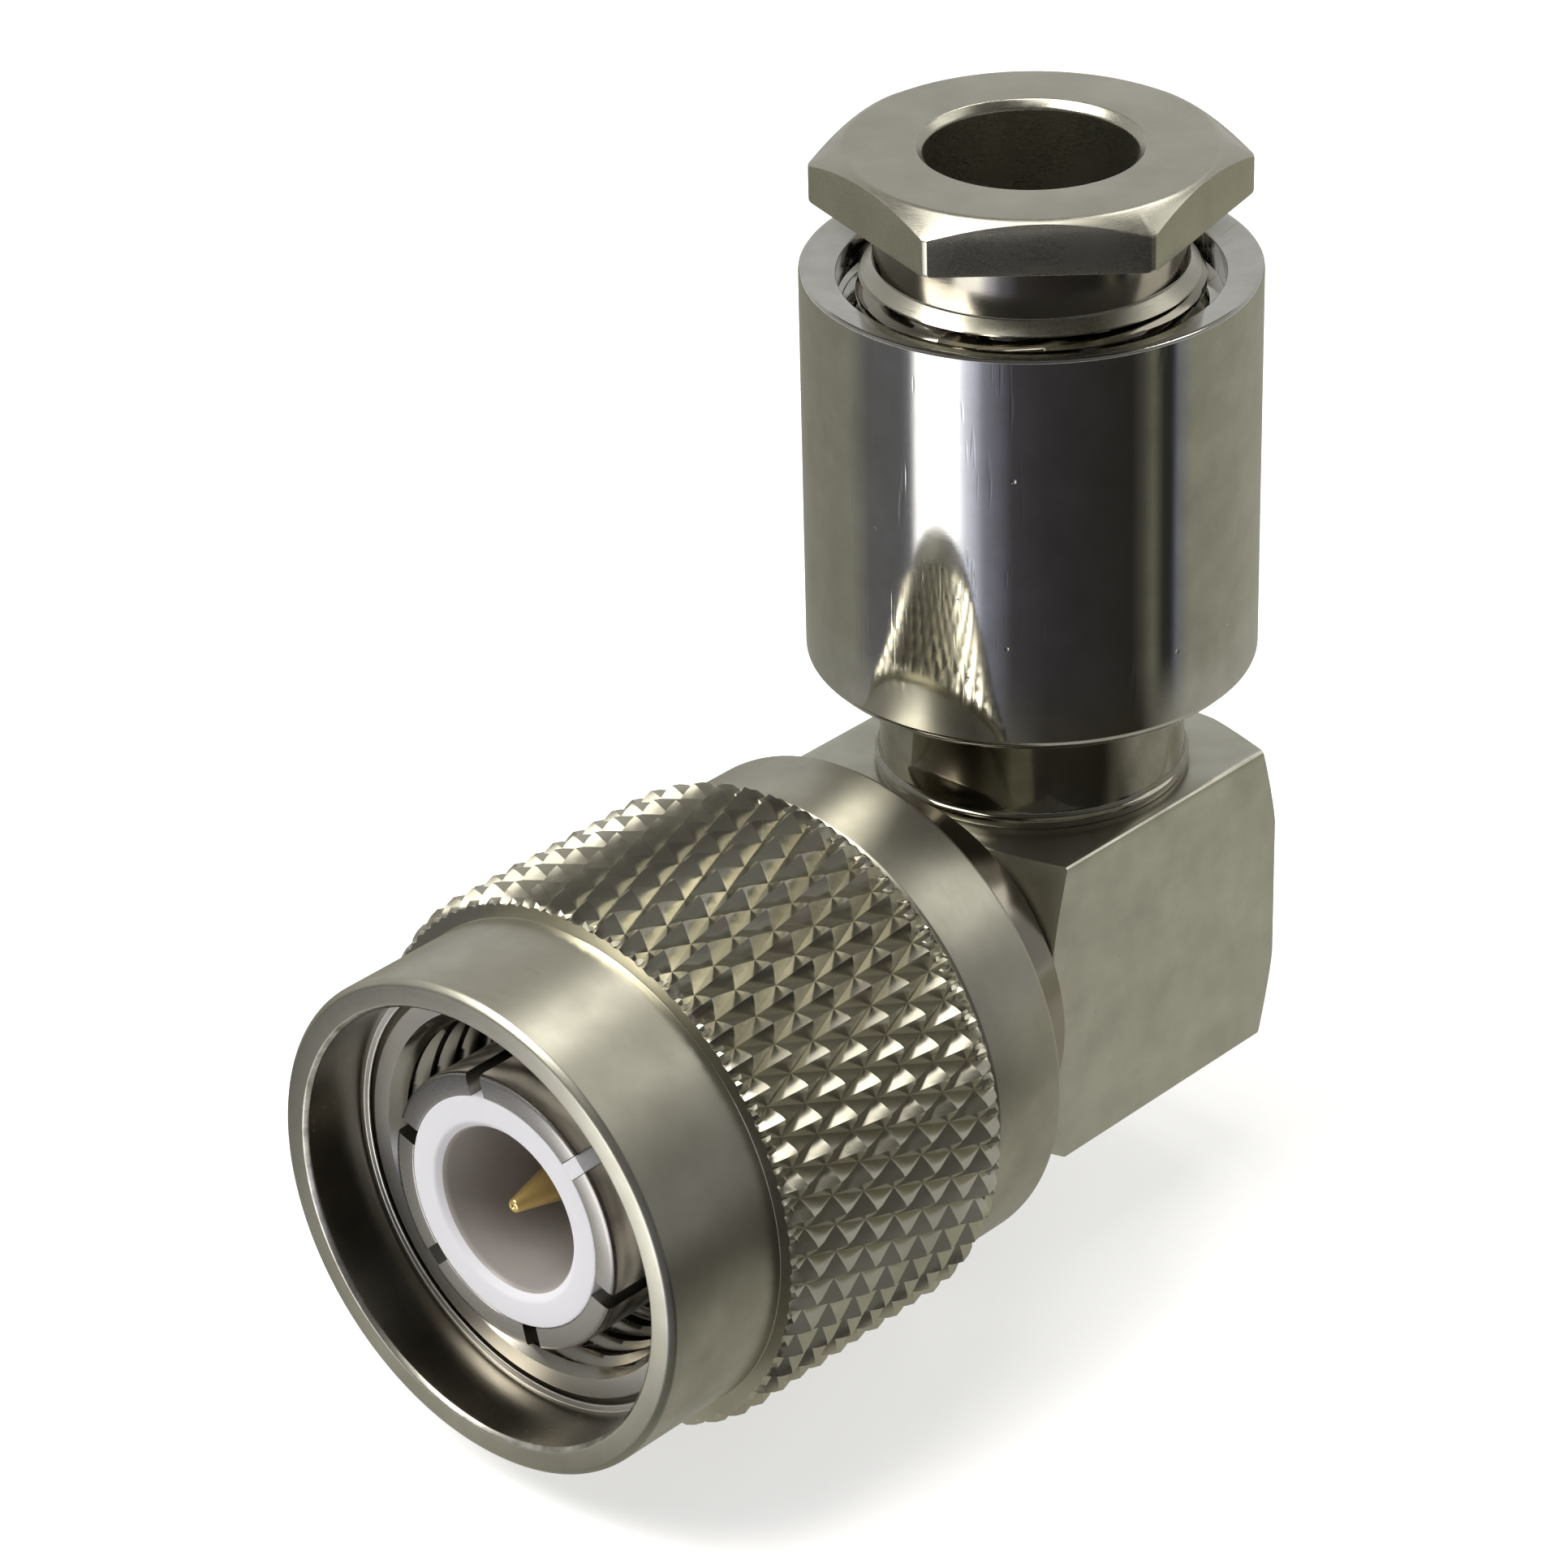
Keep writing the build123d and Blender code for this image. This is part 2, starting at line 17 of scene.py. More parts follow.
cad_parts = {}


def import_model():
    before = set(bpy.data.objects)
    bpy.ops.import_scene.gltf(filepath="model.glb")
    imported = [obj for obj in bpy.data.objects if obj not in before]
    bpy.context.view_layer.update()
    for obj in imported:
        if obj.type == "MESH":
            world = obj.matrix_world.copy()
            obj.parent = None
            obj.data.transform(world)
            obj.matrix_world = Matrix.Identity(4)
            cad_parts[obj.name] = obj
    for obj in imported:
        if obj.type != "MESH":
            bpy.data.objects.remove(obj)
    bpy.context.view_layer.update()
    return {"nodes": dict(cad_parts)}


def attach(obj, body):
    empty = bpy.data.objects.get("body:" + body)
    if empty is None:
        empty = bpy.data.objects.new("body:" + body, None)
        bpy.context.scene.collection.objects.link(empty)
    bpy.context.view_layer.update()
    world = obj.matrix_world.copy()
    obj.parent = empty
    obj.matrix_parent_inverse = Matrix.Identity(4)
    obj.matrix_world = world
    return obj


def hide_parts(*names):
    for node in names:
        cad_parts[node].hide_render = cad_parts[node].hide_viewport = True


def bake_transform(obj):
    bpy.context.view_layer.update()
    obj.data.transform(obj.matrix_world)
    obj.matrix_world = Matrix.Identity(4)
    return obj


LOG = logging.getLogger("plug")
MM = 0.001
PHOTO_PIXELS = 1932
REACH = 22.30  # from the cable axis to the front end of the outer contact
FACE_GAP = 0.01  # how far past a plane a face's middle has to be, to lie beyond it
LEVEL = 0.01  # the upward share of a normal that still counts as level
SAME_ZONE = 0.1  # how far a zone's number may be off
MIX_INPUTS = (6, 7)  # the colour sockets of a Mix node
MIX_RESULT = 2

Colour = tuple[float, float, float]
Stops = Sequence[tuple[float, Colour]]
Number = Union["Signal", float]


class TurningAxis(Enum):
    """The line that a piece was turned about."""

    MATING = "mating axis"
    CABLE = "cable axis"


class Zone(Enum):
    """What a stretch of a turned outline gets after turning."""

    PLAIN = 0
    KNURL = 1
    THREAD = 2


class Cut(Enum):
    """What a cutter leaves of a workpiece."""

    COMMON = "INTERSECT"
    REST = "DIFFERENCE"


class Bench:
    """Adds nodes to one node tree, of a material, the world or a geometry modifier."""

    def __init__(self, tree: bpy.types.NodeTree) -> None:
        """Take the tree to work on.

        Args:
            tree: The node tree.
        """
        self.tree = tree

    def node(self, kind: str, settings: Mapping[str, Any] | None = None,
             sockets: Mapping[Any, Any] | None = None) -> bpy.types.Node:
        """Add one node.

        Args:
            kind: The node's type.
            settings: Properties of the node, set before its sockets.
            sockets: Values, signals or sockets by the input's name or number.

        Returns:
            The new node.
        """
        made = self.tree.nodes.new(kind)
        for name, value in (settings or {}).items():
            if name == "stops":
                self._stops(made, value)
            else:
                setattr(made, name, value)
        for key, value in (sockets or {}).items():
            self.feed(made.inputs[key], value)
        return made

    def feed(self, socket: bpy.types.NodeSocket, value: Any) -> None:
        """Link or set one input.

        Args:
            socket: The input.
            value: A signal, a socket or a plain value.
        """
        if isinstance(value, Signal):
            value = value.socket
        if isinstance(value, bpy.types.NodeSocket):
            self.tree.links.new(value, socket)
        else:
            socket.default_value = value

    def signal(self, socket: bpy.types.NodeSocket) -> "Signal":
        """Wrap an output so that sums can be written on it."""
        return Signal(self, socket)

    def parts(self, vector: bpy.types.NodeSocket) -> list["Signal"]:
        """The three numbers of a vector."""
        apart = self.node("ShaderNodeSeparateXYZ", None, {0: vector})
        return [self.signal(out) for out in apart.outputs]

    def vector(self, *numbers: Number) -> bpy.types.NodeSocket:
        """A vector of up to three numbers."""
        return self.node("ShaderNodeCombineXYZ", None, dict(enumerate(numbers))).outputs[0]

    def noise(self, place: bpy.types.NodeSocket, scale: float, detail: float,
              roughness: float = 0.5) -> "Signal":
        """Add smooth noise.

        Args:
            place: Where the noise is looked up.
            scale: How fine it is.
            detail: How many finer layers it has.
            roughness: How strong they are.

        Returns:
            A number round a half.
        """
        made = self.node("ShaderNodeTexNoise", None, {
            "Vector": place, "Scale": scale, "Detail": detail, "Roughness": roughness,
        })
        return self.signal(made.outputs[0])

    def mixed(self, share: "Signal", one: Any, other: Any) -> bpy.types.NodeSocket:
        """A mix of two colours."""
        sockets = {"Factor": share, **dict(zip(MIX_INPUTS, (one, other)))}
        return self.node("ShaderNodeMix", {"data_type": "RGBA"}, sockets).outputs[MIX_RESULT]

    def ramp(self, place: "Signal", stops: Stops) -> bpy.types.NodeSocket:
        """The colour at a place between 0 and 1."""
        return self.node("ShaderNodeValToRGB", {"stops": stops}, {0: place}).outputs[0]

    @staticmethod
    def _stops(ramp: bpy.types.Node, stops: Stops) -> None:
        """Set the stops of a colour ramp.

        Args:
            ramp: The ramp node.
            stops: Each stop's place and colour.
        """
        elements = ramp.color_ramp.elements
        while len(elements) < len(stops):
            elements.new(1.0)
        for element, (place, colour) in zip(elements, stops):
            element.position = place
            element.color = (*colour, 1.0)


@dataclass(frozen=True)
class Signal:
    """A number in a node tree, on which sums add their Math nodes."""

    bench: Bench
    socket: bpy.types.NodeSocket

    def maths(self, operation: str, *others: Number, first: Number | None = None) -> "Signal":
        """Add one Math node.

        Args:
            operation: The node's operation.
            others: The values after this one.
            first: A value that goes before this one.

        Returns:
            The node's result.
        """
        values = [self, *others] if first is None else [first, self]
        made = self.bench.node("ShaderNodeMath", {"operation": operation}, dict(enumerate(values)))
        return self.bench.signal(made.outputs[0])

    def __add__(self, other: Number) -> "Signal":
        """Add."""
        return self.maths("ADD", other)

    __radd__ = __add__

    def __sub__(self, other: Number) -> "Signal":
        """Subtract."""
        return self.maths("SUBTRACT", other)

    def __rsub__(self, other: Number) -> "Signal":
        """Subtract from a number."""
        return self.maths("SUBTRACT", first=other)

    def __mul__(self, other: Number) -> "Signal":
        """Multiply."""
        return self.maths("MULTIPLY", other)

    __rmul__ = __mul__

    def __truediv__(self, other: Number) -> "Signal":
        """Divide."""
        return self.maths("DIVIDE", other)

    def __abs__(self) -> "Signal":
        """Drop the sign."""
        return self.maths("ABSOLUTE")

    def clamped(self) -> "Signal":
        """Keep between 0 and 1."""
        return self.maths("MAXIMUM", 0.0).maths("MINIMUM", 1.0)

    def from_whole(self) -> "Signal":
        """Distance to the nearest whole number, from 0 to a half."""
        return abs(self - self.maths("ROUND"))


def bare_bench(owner: bpy.types.Material | bpy.types.World) -> Bench:
    """Empty the node tree of a material or a world.

    Args:
        owner: The material or the world.

    Returns:
        The bench of its tree.
    """
    owner.use_nodes = True
    owner.node_tree.nodes.clear()
    return Bench(owner.node_tree)


CLOUD_START = 0.3  # noise below this gives no cloud
CLOUD_GAIN = 2.5
GRAIN_DRAW = 0.03  # straight grain is drawn out by the inverse of this
MARK_DRAW = 0.4  # millimetres of noise in one radian of a turned mark
SCRATCH_TURN = (0.5, 0.9, 0.3)
SCRATCH_DRAW = (1.0, 14.0, 1.0)
SCRATCH_SCALE = 420.0
SCRATCH_START = 0.66
SCRATCH_GAIN = 9.0
PIT_SCALE = 750.0
PIT_RARITY = 0.62  # a cell whose random value is below this has no pit
PIT_RADIUS = 0.06  # as a share of a cell
PIT_GAIN = 25.0


@dataclass(frozen=True)
class Finish:
    """A surface of the plug, made of one shader with patterns on Object coordinates."""

    name: str
    slot: str
    colour: Colour
    roughness: float
    tint: Colour
    metallic: float = 1.0
    cloud_scale: float = 350.0
    cloud_roughness: float = 0.05
    axis: TurningAxis | None = None
    line_scale: float = 26000.0
    line_depth: float = 0.0
    line_roughness: float = 0.0
    scratch_depth: float = 0.0
    pit_depth: float = 0.0

    def material(self) -> bpy.types.Material:
        """Build the material.

        Returns:
            The material, which is made once and then found by name.
        """
        known = bpy.data.materials.get(self.name)
        if known:
            return known
        made = bpy.data.materials.new(self.name)
        bench = bare_bench(made)
        place = bench.node("ShaderNodeTexCoord").outputs["Object"]
        clouds = self._clouds(bench, place)
        lines = self._lines(bench, place)
        colour = bench.mixed(clouds, (*self.colour, 1.0), (*self.tint, 1.0))
        rough = clouds * self.cloud_roughness + (lines - 0.5) * self.line_roughness
        rough = rough + (self.roughness - self.cloud_roughness / 2)
        shader = bench.node("ShaderNodeBsdfPrincipled", None, {
            "Base Color": colour, "Roughness": rough.clamped(), "Metallic": self.metallic,
            "Normal": self._normal(bench, place, lines),
        })
        bench.node("ShaderNodeOutputMaterial", None, {"Surface": shader.outputs[0]})
        return made

    def _clouds(self, bench: Bench, place: bpy.types.NodeSocket) -> Signal:
        """Soft uneven patches.

        Args:
            bench: The material's bench.
            place: Object coordinates.

        Returns:
            A number from 0 to 1.
        """
        noise = bench.noise(place, self.cloud_scale, detail=4.0, roughness=0.55)
        return ((noise - CLOUD_START) * CLOUD_GAIN).clamped()

    def _lines(self, bench: Bench, place: bpy.types.NodeSocket) -> Signal:
        """Fine tool marks, as rings round the turning axis or as straight grain.

        Args:
            bench: The material's bench.
            place: Object coordinates.

        Returns:
            A number round a half.
        """
        x, y, z = bench.parts(place)
        if self.axis is None:
            grain = bench.vector(x * GRAIN_DRAW, y * GRAIN_DRAW, z)
        else:
            along, side, up = (x, y, z) if self.axis is TurningAxis.MATING else (z, x + REACH * MM, y)
            radius = (side * side + up * up).maths("SQRT")
            grain = bench.vector(radius, up.maths("ARCTAN2", side) * (MARK_DRAW * MM), along)
        return bench.noise(grain, self.line_scale, detail=2.0, roughness=0.6)

    def _normal(self, bench: Bench, place: bpy.types.NodeSocket, lines: Signal) -> bpy.types.NodeSocket:
        """Relief of the tool marks and of a few fine scratches.

        Args:
            bench: The material's bench.
            place: Object coordinates.
            lines: The tool marks.

        Returns:
            The normal's socket.
        """
        height = lines * self.line_depth
        if self.scratch_depth:
            drawn = bench.node("ShaderNodeMapping", None, {
                "Vector": place, "Rotation": SCRATCH_TURN, "Scale": SCRATCH_DRAW,
            })
            noise = bench.noise(drawn.outputs[0], SCRATCH_SCALE, detail=1.0)
            scratch = ((noise - SCRATCH_START) * SCRATCH_GAIN).clamped()
            height = height - scratch * self.scratch_depth
        if self.pit_depth:
            cells = bench.node("ShaderNodeTexVoronoi", None, {"Vector": place, "Scale": PIT_SCALE})
            few = bench.signal(cells.outputs["Color"]).maths("GREATER_THAN", PIT_RARITY)
            pit = ((PIT_RADIUS - bench.signal(cells.outputs["Distance"])) * PIT_GAIN).clamped()
            height = height - pit * few * self.pit_depth
        bump = bench.node("ShaderNodeBump", None, {"Strength": 1.0, "Distance": MM, "Height": height})
        return bump.outputs[0]


NUT_SATIN = Finish("satin_nickel_nut", "brushed_nickel", (0.56, 0.545, 0.46), 0.36,
                   tint=(0.40, 0.385, 0.32), axis=TurningAxis.MATING, line_depth=0.0009,
                   line_roughness=0.14, cloud_roughness=0.08)
KNURL_BRIGHT = Finish("knurl_nickel", "brushed_nickel", (0.60, 0.58, 0.48), 0.24,
                      tint=(0.48, 0.46, 0.375), axis=TurningAxis.MATING, cloud_roughness=0.10)
# Painted shade: the wall of the nut's mouth gets a darker nickel colour, for the shade inside that recess.
MOUTH_PAINTED_SHADE = Finish("mouth_nickel", "brushed_nickel", (0.25, 0.23, 0.19), 0.24,
                    tint=(0.20, 0.185, 0.155), axis=TurningAxis.MATING, line_depth=0.001,
                    line_roughness=0.1)
# Painted highlight: the floor ring of the nut's mouth gets a far brighter nickel colour, for the bright
# reflection on it.
MOUTH_FLOOR_PAINTED_HIGHLIGHT = Finish("mouth_floor_nickel", "brushed_nickel", (0.85, 0.83, 0.79), 0.38,
                     tint=(0.66, 0.64, 0.60), axis=TurningAxis.MATING, line_depth=0.001,
                     line_roughness=0.1)
# Partly painted highlight: the mouth's inner edge gets a brighter colour for its edge highlight, with dark
# mottling as wear.
WORN_EDGE_AND_PAINTED_HIGHLIGHT = Finish("worn_edge", "brushed_nickel", (0.76, 0.74, 0.68), 0.30,
                   tint=(0.24, 0.23, 0.19), cloud_scale=1500.0, cloud_roughness=0.10,
                   axis=TurningAxis.MATING)
# Painted shade: the nut's inside thread gets a darker nickel colour, for the shade deep in the bore.
THREAD_PAINTED_SHADE = Finish("thread_nickel", "polished_nickel", (0.46, 0.44, 0.39), 0.16,
                       tint=(0.36, 0.34, 0.30), axis=TurningAxis.MATING, line_depth=0.0004)
HEX_SATIN = Finish("satin_nickel_hexagon", "brushed_nickel", (0.56, 0.545, 0.465), 0.28,
                   tint=(0.44, 0.425, 0.36), axis=TurningAxis.CABLE, line_depth=0.0012,
                   line_roughness=0.16, cloud_roughness=0.10, pit_depth=0.008)
# Painted shade: the clamp nut's neck and thread get a darker nickel colour, for the shade under the
# hexagon.
CLAMP_NECK_PAINTED_SHADE = Finish("polished_nickel_clamp", "polished_nickel", (0.40, 0.375, 0.32), 0.12,
                      tint=(0.30, 0.28, 0.235), axis=TurningAxis.CABLE, line_depth=0.0004,
                      line_roughness=0.05)
BLOCK_SATIN = Finish("satin_nickel_block", "brushed_nickel", (0.64, 0.63, 0.55), 0.32,
                     tint=(0.55, 0.54, 0.465), line_scale=9000.0, line_depth=0.0004,
                     line_roughness=0.10, cloud_scale=700.0, cloud_roughness=0.10, pit_depth=0.012)
BARREL_BRIGHT = Finish("bright_nickel", "polished_nickel", (0.63, 0.62, 0.59), 0.085,
                       tint=(0.52, 0.51, 0.475), axis=TurningAxis.CABLE, line_depth=0.0003,
                       line_roughness=0.05, cloud_scale=800.0, cloud_roughness=0.06,
                       scratch_depth=0.002, pit_depth=0.012)
# Painted shade: the barrel's neck gets a darker nickel colour, for the shade between the block and the
# barrel.
BARREL_NECK_PAINTED_SHADE = Finish("stained_nickel_neck", "polished_nickel", (0.40, 0.385, 0.33), 0.10,
                      tint=(0.27, 0.25, 0.20), axis=TurningAxis.CABLE, line_depth=0.0003,
                      line_roughness=0.05, cloud_scale=800.0, cloud_roughness=0.06)
CONTACT_BRIGHT = Finish("bright_nickel_contact", "polished_nickel", (0.44, 0.42, 0.40), 0.28,
                        tint=(0.36, 0.34, 0.32), axis=TurningAxis.MATING, line_depth=0.0005,
                        line_roughness=0.08)
# Painted shade: the outer contact's tube behind its front gets a darker nickel colour, for the shade
# inside the nut's mouth.
CONTACT_TUBE_PAINTED_SHADE = Finish("dull_nickel_contact", "polished_nickel", (0.34, 0.32, 0.28), 0.24,
                      tint=(0.27, 0.25, 0.22), axis=TurningAxis.MATING, line_depth=0.0008,
                      line_roughness=0.08)
INSULATOR_WHITE = Finish("white_insulator", "white_insulator", (0.60, 0.63, 0.82), 0.42,
                         metallic=0.0, tint=(0.565, 0.59, 0.78), line_depth=0.0003,
                         cloud_roughness=0.08)
# Painted shade: the insulator's socket gets a darker colour, for the shade inside it.
SOCKET_PAINTED_SHADE = Finish("insulator_socket", "white_insulator", (0.44, 0.41, 0.40), 0.40,
                      metallic=0.0, tint=(0.39, 0.36, 0.35), line_depth=0.0003)
PIN_GOLD = Finish("gold_plate", "gold_plate", (0.72, 0.47, 0.13), 0.20, tint=(0.62, 0.38, 0.09),
                  axis=TurningAxis.MATING, line_depth=0.0008, line_roughness=0.08)
BODY_SLEEVE = Finish("bright_nickel_sleeve", "polished_nickel", (0.40, 0.37, 0.31), 0.20,
                     tint=(0.33, 0.30, 0.25), axis=TurningAxis.MATING, line_depth=0.0006,
                     line_roughness=0.08)
RING_BRONZE = Finish("spring_bronze", "spring_bronze", (0.52, 0.34, 0.17), 0.30,
                     tint=(0.42, 0.26, 0.12), axis=TurningAxis.MATING, line_depth=0.001)
RUBBER_GREY = Finish("grey_rubber", "grey_rubber", (0.035, 0.035, 0.038), 0.62, metallic=0.0,
                     tint=(0.055, 0.055, 0.058), line_depth=0.002, cloud_roughness=0.12)


FinishRule = Callable[[Vector], Finish]
AddModifiers = Callable[[bpy.types.Object], None]


def plain_mesh(work: bmesh.types.BMesh, name: str) -> bpy.types.Mesh:
    """Keep worked faces as a mesh, and free the work.

    Args:
        work: The faces.
        name: The mesh's name.

    Returns:
        The mesh.
    """
    mesh = bpy.data.meshes.new(name)
    work.to_mesh(mesh)
    work.free()
    return mesh


def in_scene(name: str, data: bpy.types.ID) -> bpy.types.Object:
    """Put a new object in the scene.

    Args:
        name: Its name.
        data: Its mesh, lamp or camera.

    Returns:
        The object.
    """
    obj = bpy.data.objects.new(name, data)
    bpy.context.scene.collection.objects.link(obj)
    return obj


def size_and_middle(low: Sequence[float], high: Sequence[float]) -> tuple[list[float], list[float]]:
    """Measure a box.

    Args:
        low: Its lowest corner, in millimetres in the row's frame.
        high: Its highest corner.

    Returns:
        Its size and its middle, in metres.
    """
    size = [(top - bottom) * MM for bottom, top in zip(low, high)]
    middle = [(top + bottom) / 2 * MM for bottom, top in zip(low, high)]
    return size, middle


@dataclass(frozen=True)
class Corner:
    """A corner of a turned outline."""

    along: float
    radius: float
    blend: float = 0.0
    zone: Zone = Zone.PLAIN


@dataclass
class TurnedOutline:
    """A closed outline that is turned about the mating or the cable axis."""

    axis: TurningAxis
    corners: list[Corner]
    segments: int = 288
    arc_steps: int = 4
    diamond: int = 0  # points in one diamond of the knurl, round and along

    def points(self) -> list[tuple[float, float, Zone]]:
        """Round the corners.

        Returns:
            Each point's place along the axis, its radius and the zone that begins there.
        """
        rounded: list[tuple[float, float, Zone]] = []
        spots = [Vector((corner.along, corner.radius)) for corner in self.corners]
        for index, corner in enumerate(self.corners):
            here = spots[index]
            if not corner.blend:
                rounded.append((here.x, here.y, corner.zone))
                continue
            before, after = spots[index - 1], spots[(index + 1) % len(spots)]
            start = here + (before - here).normalized() * corner.blend
            end = here + (after - here).normalized() * corner.blend
            for step in range(self.arc_steps + 1):
                share = step / self.arc_steps
                place = start.lerp(here, share).lerp(here.lerp(end, share), share)
                rounded.append((place.x, place.y, corner.zone))
        return rounded

    def place(self, along: float, radius: float, angle: float) -> Vector:
        """Turn a point of the outline.

        Args:
            along: Its place along the axis, in millimetres.
            radius: Its distance from the axis, in millimetres.
            angle: The angle about the axis.

        Returns:
            The point in metres, in the row's frame.
        """
        across, up = radius * math.cos(angle), radius * math.sin(angle)
        if self.axis is TurningAxis.MATING:
            return Vector((along - REACH, across, up)) * MM
        return Vector((across - REACH, up, along)) * MM

    def split(self, quad: list[bmesh.types.BMVert], turn: int, row: int) -> list[list[bmesh.types.BMVert]]:
        """Fold a quad of the knurl along the groove that crosses it.

        Args:
            quad: Its corners.
            turn: Its place round the axis.
            row: Its place along the axis, from the middle of the band.

        Returns:
            The quad, or two triangles.
        """
        one, two, three, four = quad
        if (turn + row + 1) % self.diamond == self.diamond // 2:
            return [[one, two, four], [two, three, four]]
        if (turn - row) % self.diamond == self.diamond // 2:
            return [[one, two, three], [one, three, four]]
        return [quad]

    def mesh(self, name: str) -> bpy.types.Mesh:
        """Turn the outline into a closed mesh.

        Args:
            name: The mesh's name.

        Returns:
            The mesh, with the zone of each point in an attribute.
        """
        outline = self.points()
        knurled = [index for index, point in enumerate(outline) if point[2] is Zone.KNURL]
        middle = knurled[len(knurled) // 2] if knurled else 0
        rings: list[list[bmesh.types.BMVert]] = []
        made = bmesh.new()
        layer = made.verts.layers.int.new("zone")
        for along, radius, zone in outline:
            count = self.segments if radius > 0 else 1
            ring = []
            for turn in range(count):
                vertex = made.verts.new(self.place(along, radius, math.tau * turn / self.segments))
                vertex[layer] = zone.value
                ring.append(vertex)
            rings.append(ring)
        for index, ring in enumerate(rings):
            following = rings[(index + 1) % len(rings)]
            for turn in range(self.segments):
                corners = [
                    ring[turn % len(ring)], ring[(turn + 1) % len(ring)],
                    following[(turn + 1) % len(following)], following[turn % len(following)],
                ]
                unique = list(dict.fromkeys(corners))
                if index in knurled:
                    for part in self.split(unique, turn, index - middle):
                        made.faces.new(part)
                elif len(unique) > 2:
                    made.faces.new(unique)
        bmesh.ops.recalc_face_normals(made, faces=made.faces)
        return plain_mesh(made, name)


@dataclass(frozen=True)
class Stretch:
    """The body that the top of a soft piece on the cable axis sits under, and the heights of that top;
    nothing makes the piece follow the body.
    """

    body: str
    low: float
    high: float


@dataclass
class Piece:
    """One visible piece: its mesh, its finish and the body that carries it."""

    name: str
    node: str
    body: str
    finish: Finish
    stretch: Stretch | None = None
    sharp_deg: float = 28.0  # edges that turn by more than this stay sharp

    def put(self, mesh: bpy.types.Mesh, finish_at: FinishRule | None = None) -> None:
        """Place the mesh in the scene, dress it and attach it to its body; a piece with a stretch is only
        baked in place.

        Args:
            mesh: The finished mesh, in metres in the row's frame.
            finish_at: Gives the finish of each face, where the piece has several.
        """
        obj = in_scene(self.name, mesh)
        mesh.materials.clear()
        mesh.materials.append(self.finish.material())
        if finish_at:
            self._dress(mesh, finish_at)
        mesh.shade_smooth()
        mesh.set_sharp_from_angle(angle=math.radians(self.sharp_deg))
        if self.stretch:
            ends = (Vector((-REACH, 0.0, height)) * MM for height in (self.stretch.low, self.stretch.high))
            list(ends)
            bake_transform(obj)
        else:
            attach(obj, self.body)
        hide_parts(self.node)
        LOG.info("%s: %d faces", self.name, len(mesh.polygons))

    @staticmethod
    def _dress(mesh: bpy.types.Mesh, finish_at: FinishRule) -> None:
        """Give each face the finish of its place.

        Args:
            mesh: The mesh.
            finish_at: Gives the finish for the middle of a face.
        """
        slots: dict[str, int] = {mesh.materials[0].name: 0}
        for face in mesh.polygons:
            material = finish_at(face.center / MM).material()
            if material.name not in slots:
                slots[material.name] = len(mesh.materials)
                mesh.materials.append(material)
            face.material_index = slots[material.name]


def baked(mesh: bpy.types.Mesh, add: AddModifiers) -> bpy.types.Mesh:
    """Run modifiers on a mesh and keep the result as a plain mesh.

    Args:
        mesh: The mesh to start from.
        add: Adds the modifiers to the object that holds the mesh.

    Returns:
        The finished mesh.
    """
    holder = in_scene("holder", mesh)
    add(holder)
    bpy.context.view_layer.update()
    evaluated = holder.evaluated_get(bpy.context.evaluated_depsgraph_get())
    result = bpy.data.meshes.new_from_object(evaluated)
    holder.modifiers.clear()
    bpy.data.objects.remove(holder)
    return result


def cut(holder: bpy.types.Object, cutter: bpy.types.Mesh, kind: Cut) -> None:
    """Add an exact Boolean modifier with a cutter.

    Args:
        holder: The workpiece.
        cutter: The cutter's mesh.
        kind: What is left of the workpiece.
    """
    modifier = holder.modifiers.new(kind.name, "BOOLEAN")
    modifier.operation = kind.value
    modifier.solver = "EXACT"
    modifier.object = bpy.data.objects.new("tool", cutter)


def box_mesh(name: str, low: Sequence[float], high: Sequence[float]) -> bpy.types.Mesh:
    """A box between two corners.

    Args:
        name: The mesh's name.
        low: Its lowest corner, in millimetres in the row's frame.
        high: Its highest corner.

    Returns:
        The mesh.
    """
    made = bmesh.new()
    size, middle = size_and_middle(low, high)
    matrix = Matrix.Translation(middle) @ Matrix.Diagonal((*size, 1.0))
    bmesh.ops.create_cube(made, size=1.0, matrix=matrix)
    return plain_mesh(made, name)


def joined(meshes: Sequence[bpy.types.Mesh]) -> bpy.types.Mesh:
    """Put several meshes in one.

    Args:
        meshes: The meshes.

    Returns:
        One mesh of them all.
    """
    made = bmesh.new()
    for mesh in meshes:
        made.from_mesh(mesh)
    bmesh.ops.recalc_face_normals(made, faces=made.faces)
    return plain_mesh(made, meshes[0].name + "_joined")


@dataclass(frozen=True)
class Knurl:
    """A rolled pattern of four-sided points round a turned band."""

    rear: float
    front: float
    radius: float = 8.20
    depth: float = 0.46
    teeth: int = 54
    pitch: float = 2.38
    end_bevel: float = 0.34
    crest: float = 0.90
    steps: int = 8  # rings and points in one diamond

    def radius_at(self, along: Signal, angle: Signal) -> Signal:
        """The radius of the knurled surface.

        Args:
            along: Place along the axis, in millimetres.
            angle: Angle about the axis.

        Returns:
            The radius in millimetres.
        """
        tooth = angle * (self.teeth / math.tau)
        diamond = (along - (self.rear + self.front) / 2) / self.pitch
        nearest = (tooth + diamond).from_whole().maths("MAXIMUM", (tooth - diamond).from_whole())
        height = (1.0 - nearest * 2.0).maths("MINIMUM", self.crest)
        surface = height * (self.depth / self.crest) + (self.radius - self.depth)
        to_end = (along - self.rear).maths("MINIMUM", self.front - along)
        return surface.maths("MINIMUM", to_end + (self.radius - self.end_bevel))

    def rows(self) -> list[float]:
        """Place the rings that carry the pattern.

        Returns:
            Their places along the axis, from rear to front.
        """
        middle = (self.rear + self.front) / 2
        spacing = self.pitch / self.steps
        reach = int((self.front - self.rear) / 2 / spacing)
        inside = [middle + step * spacing for step in range(-reach, reach + 1)]
        ends = [self.rear, self.rear + self.end_bevel, self.front - self.end_bevel, self.front]
        return sorted(set(inside + ends))


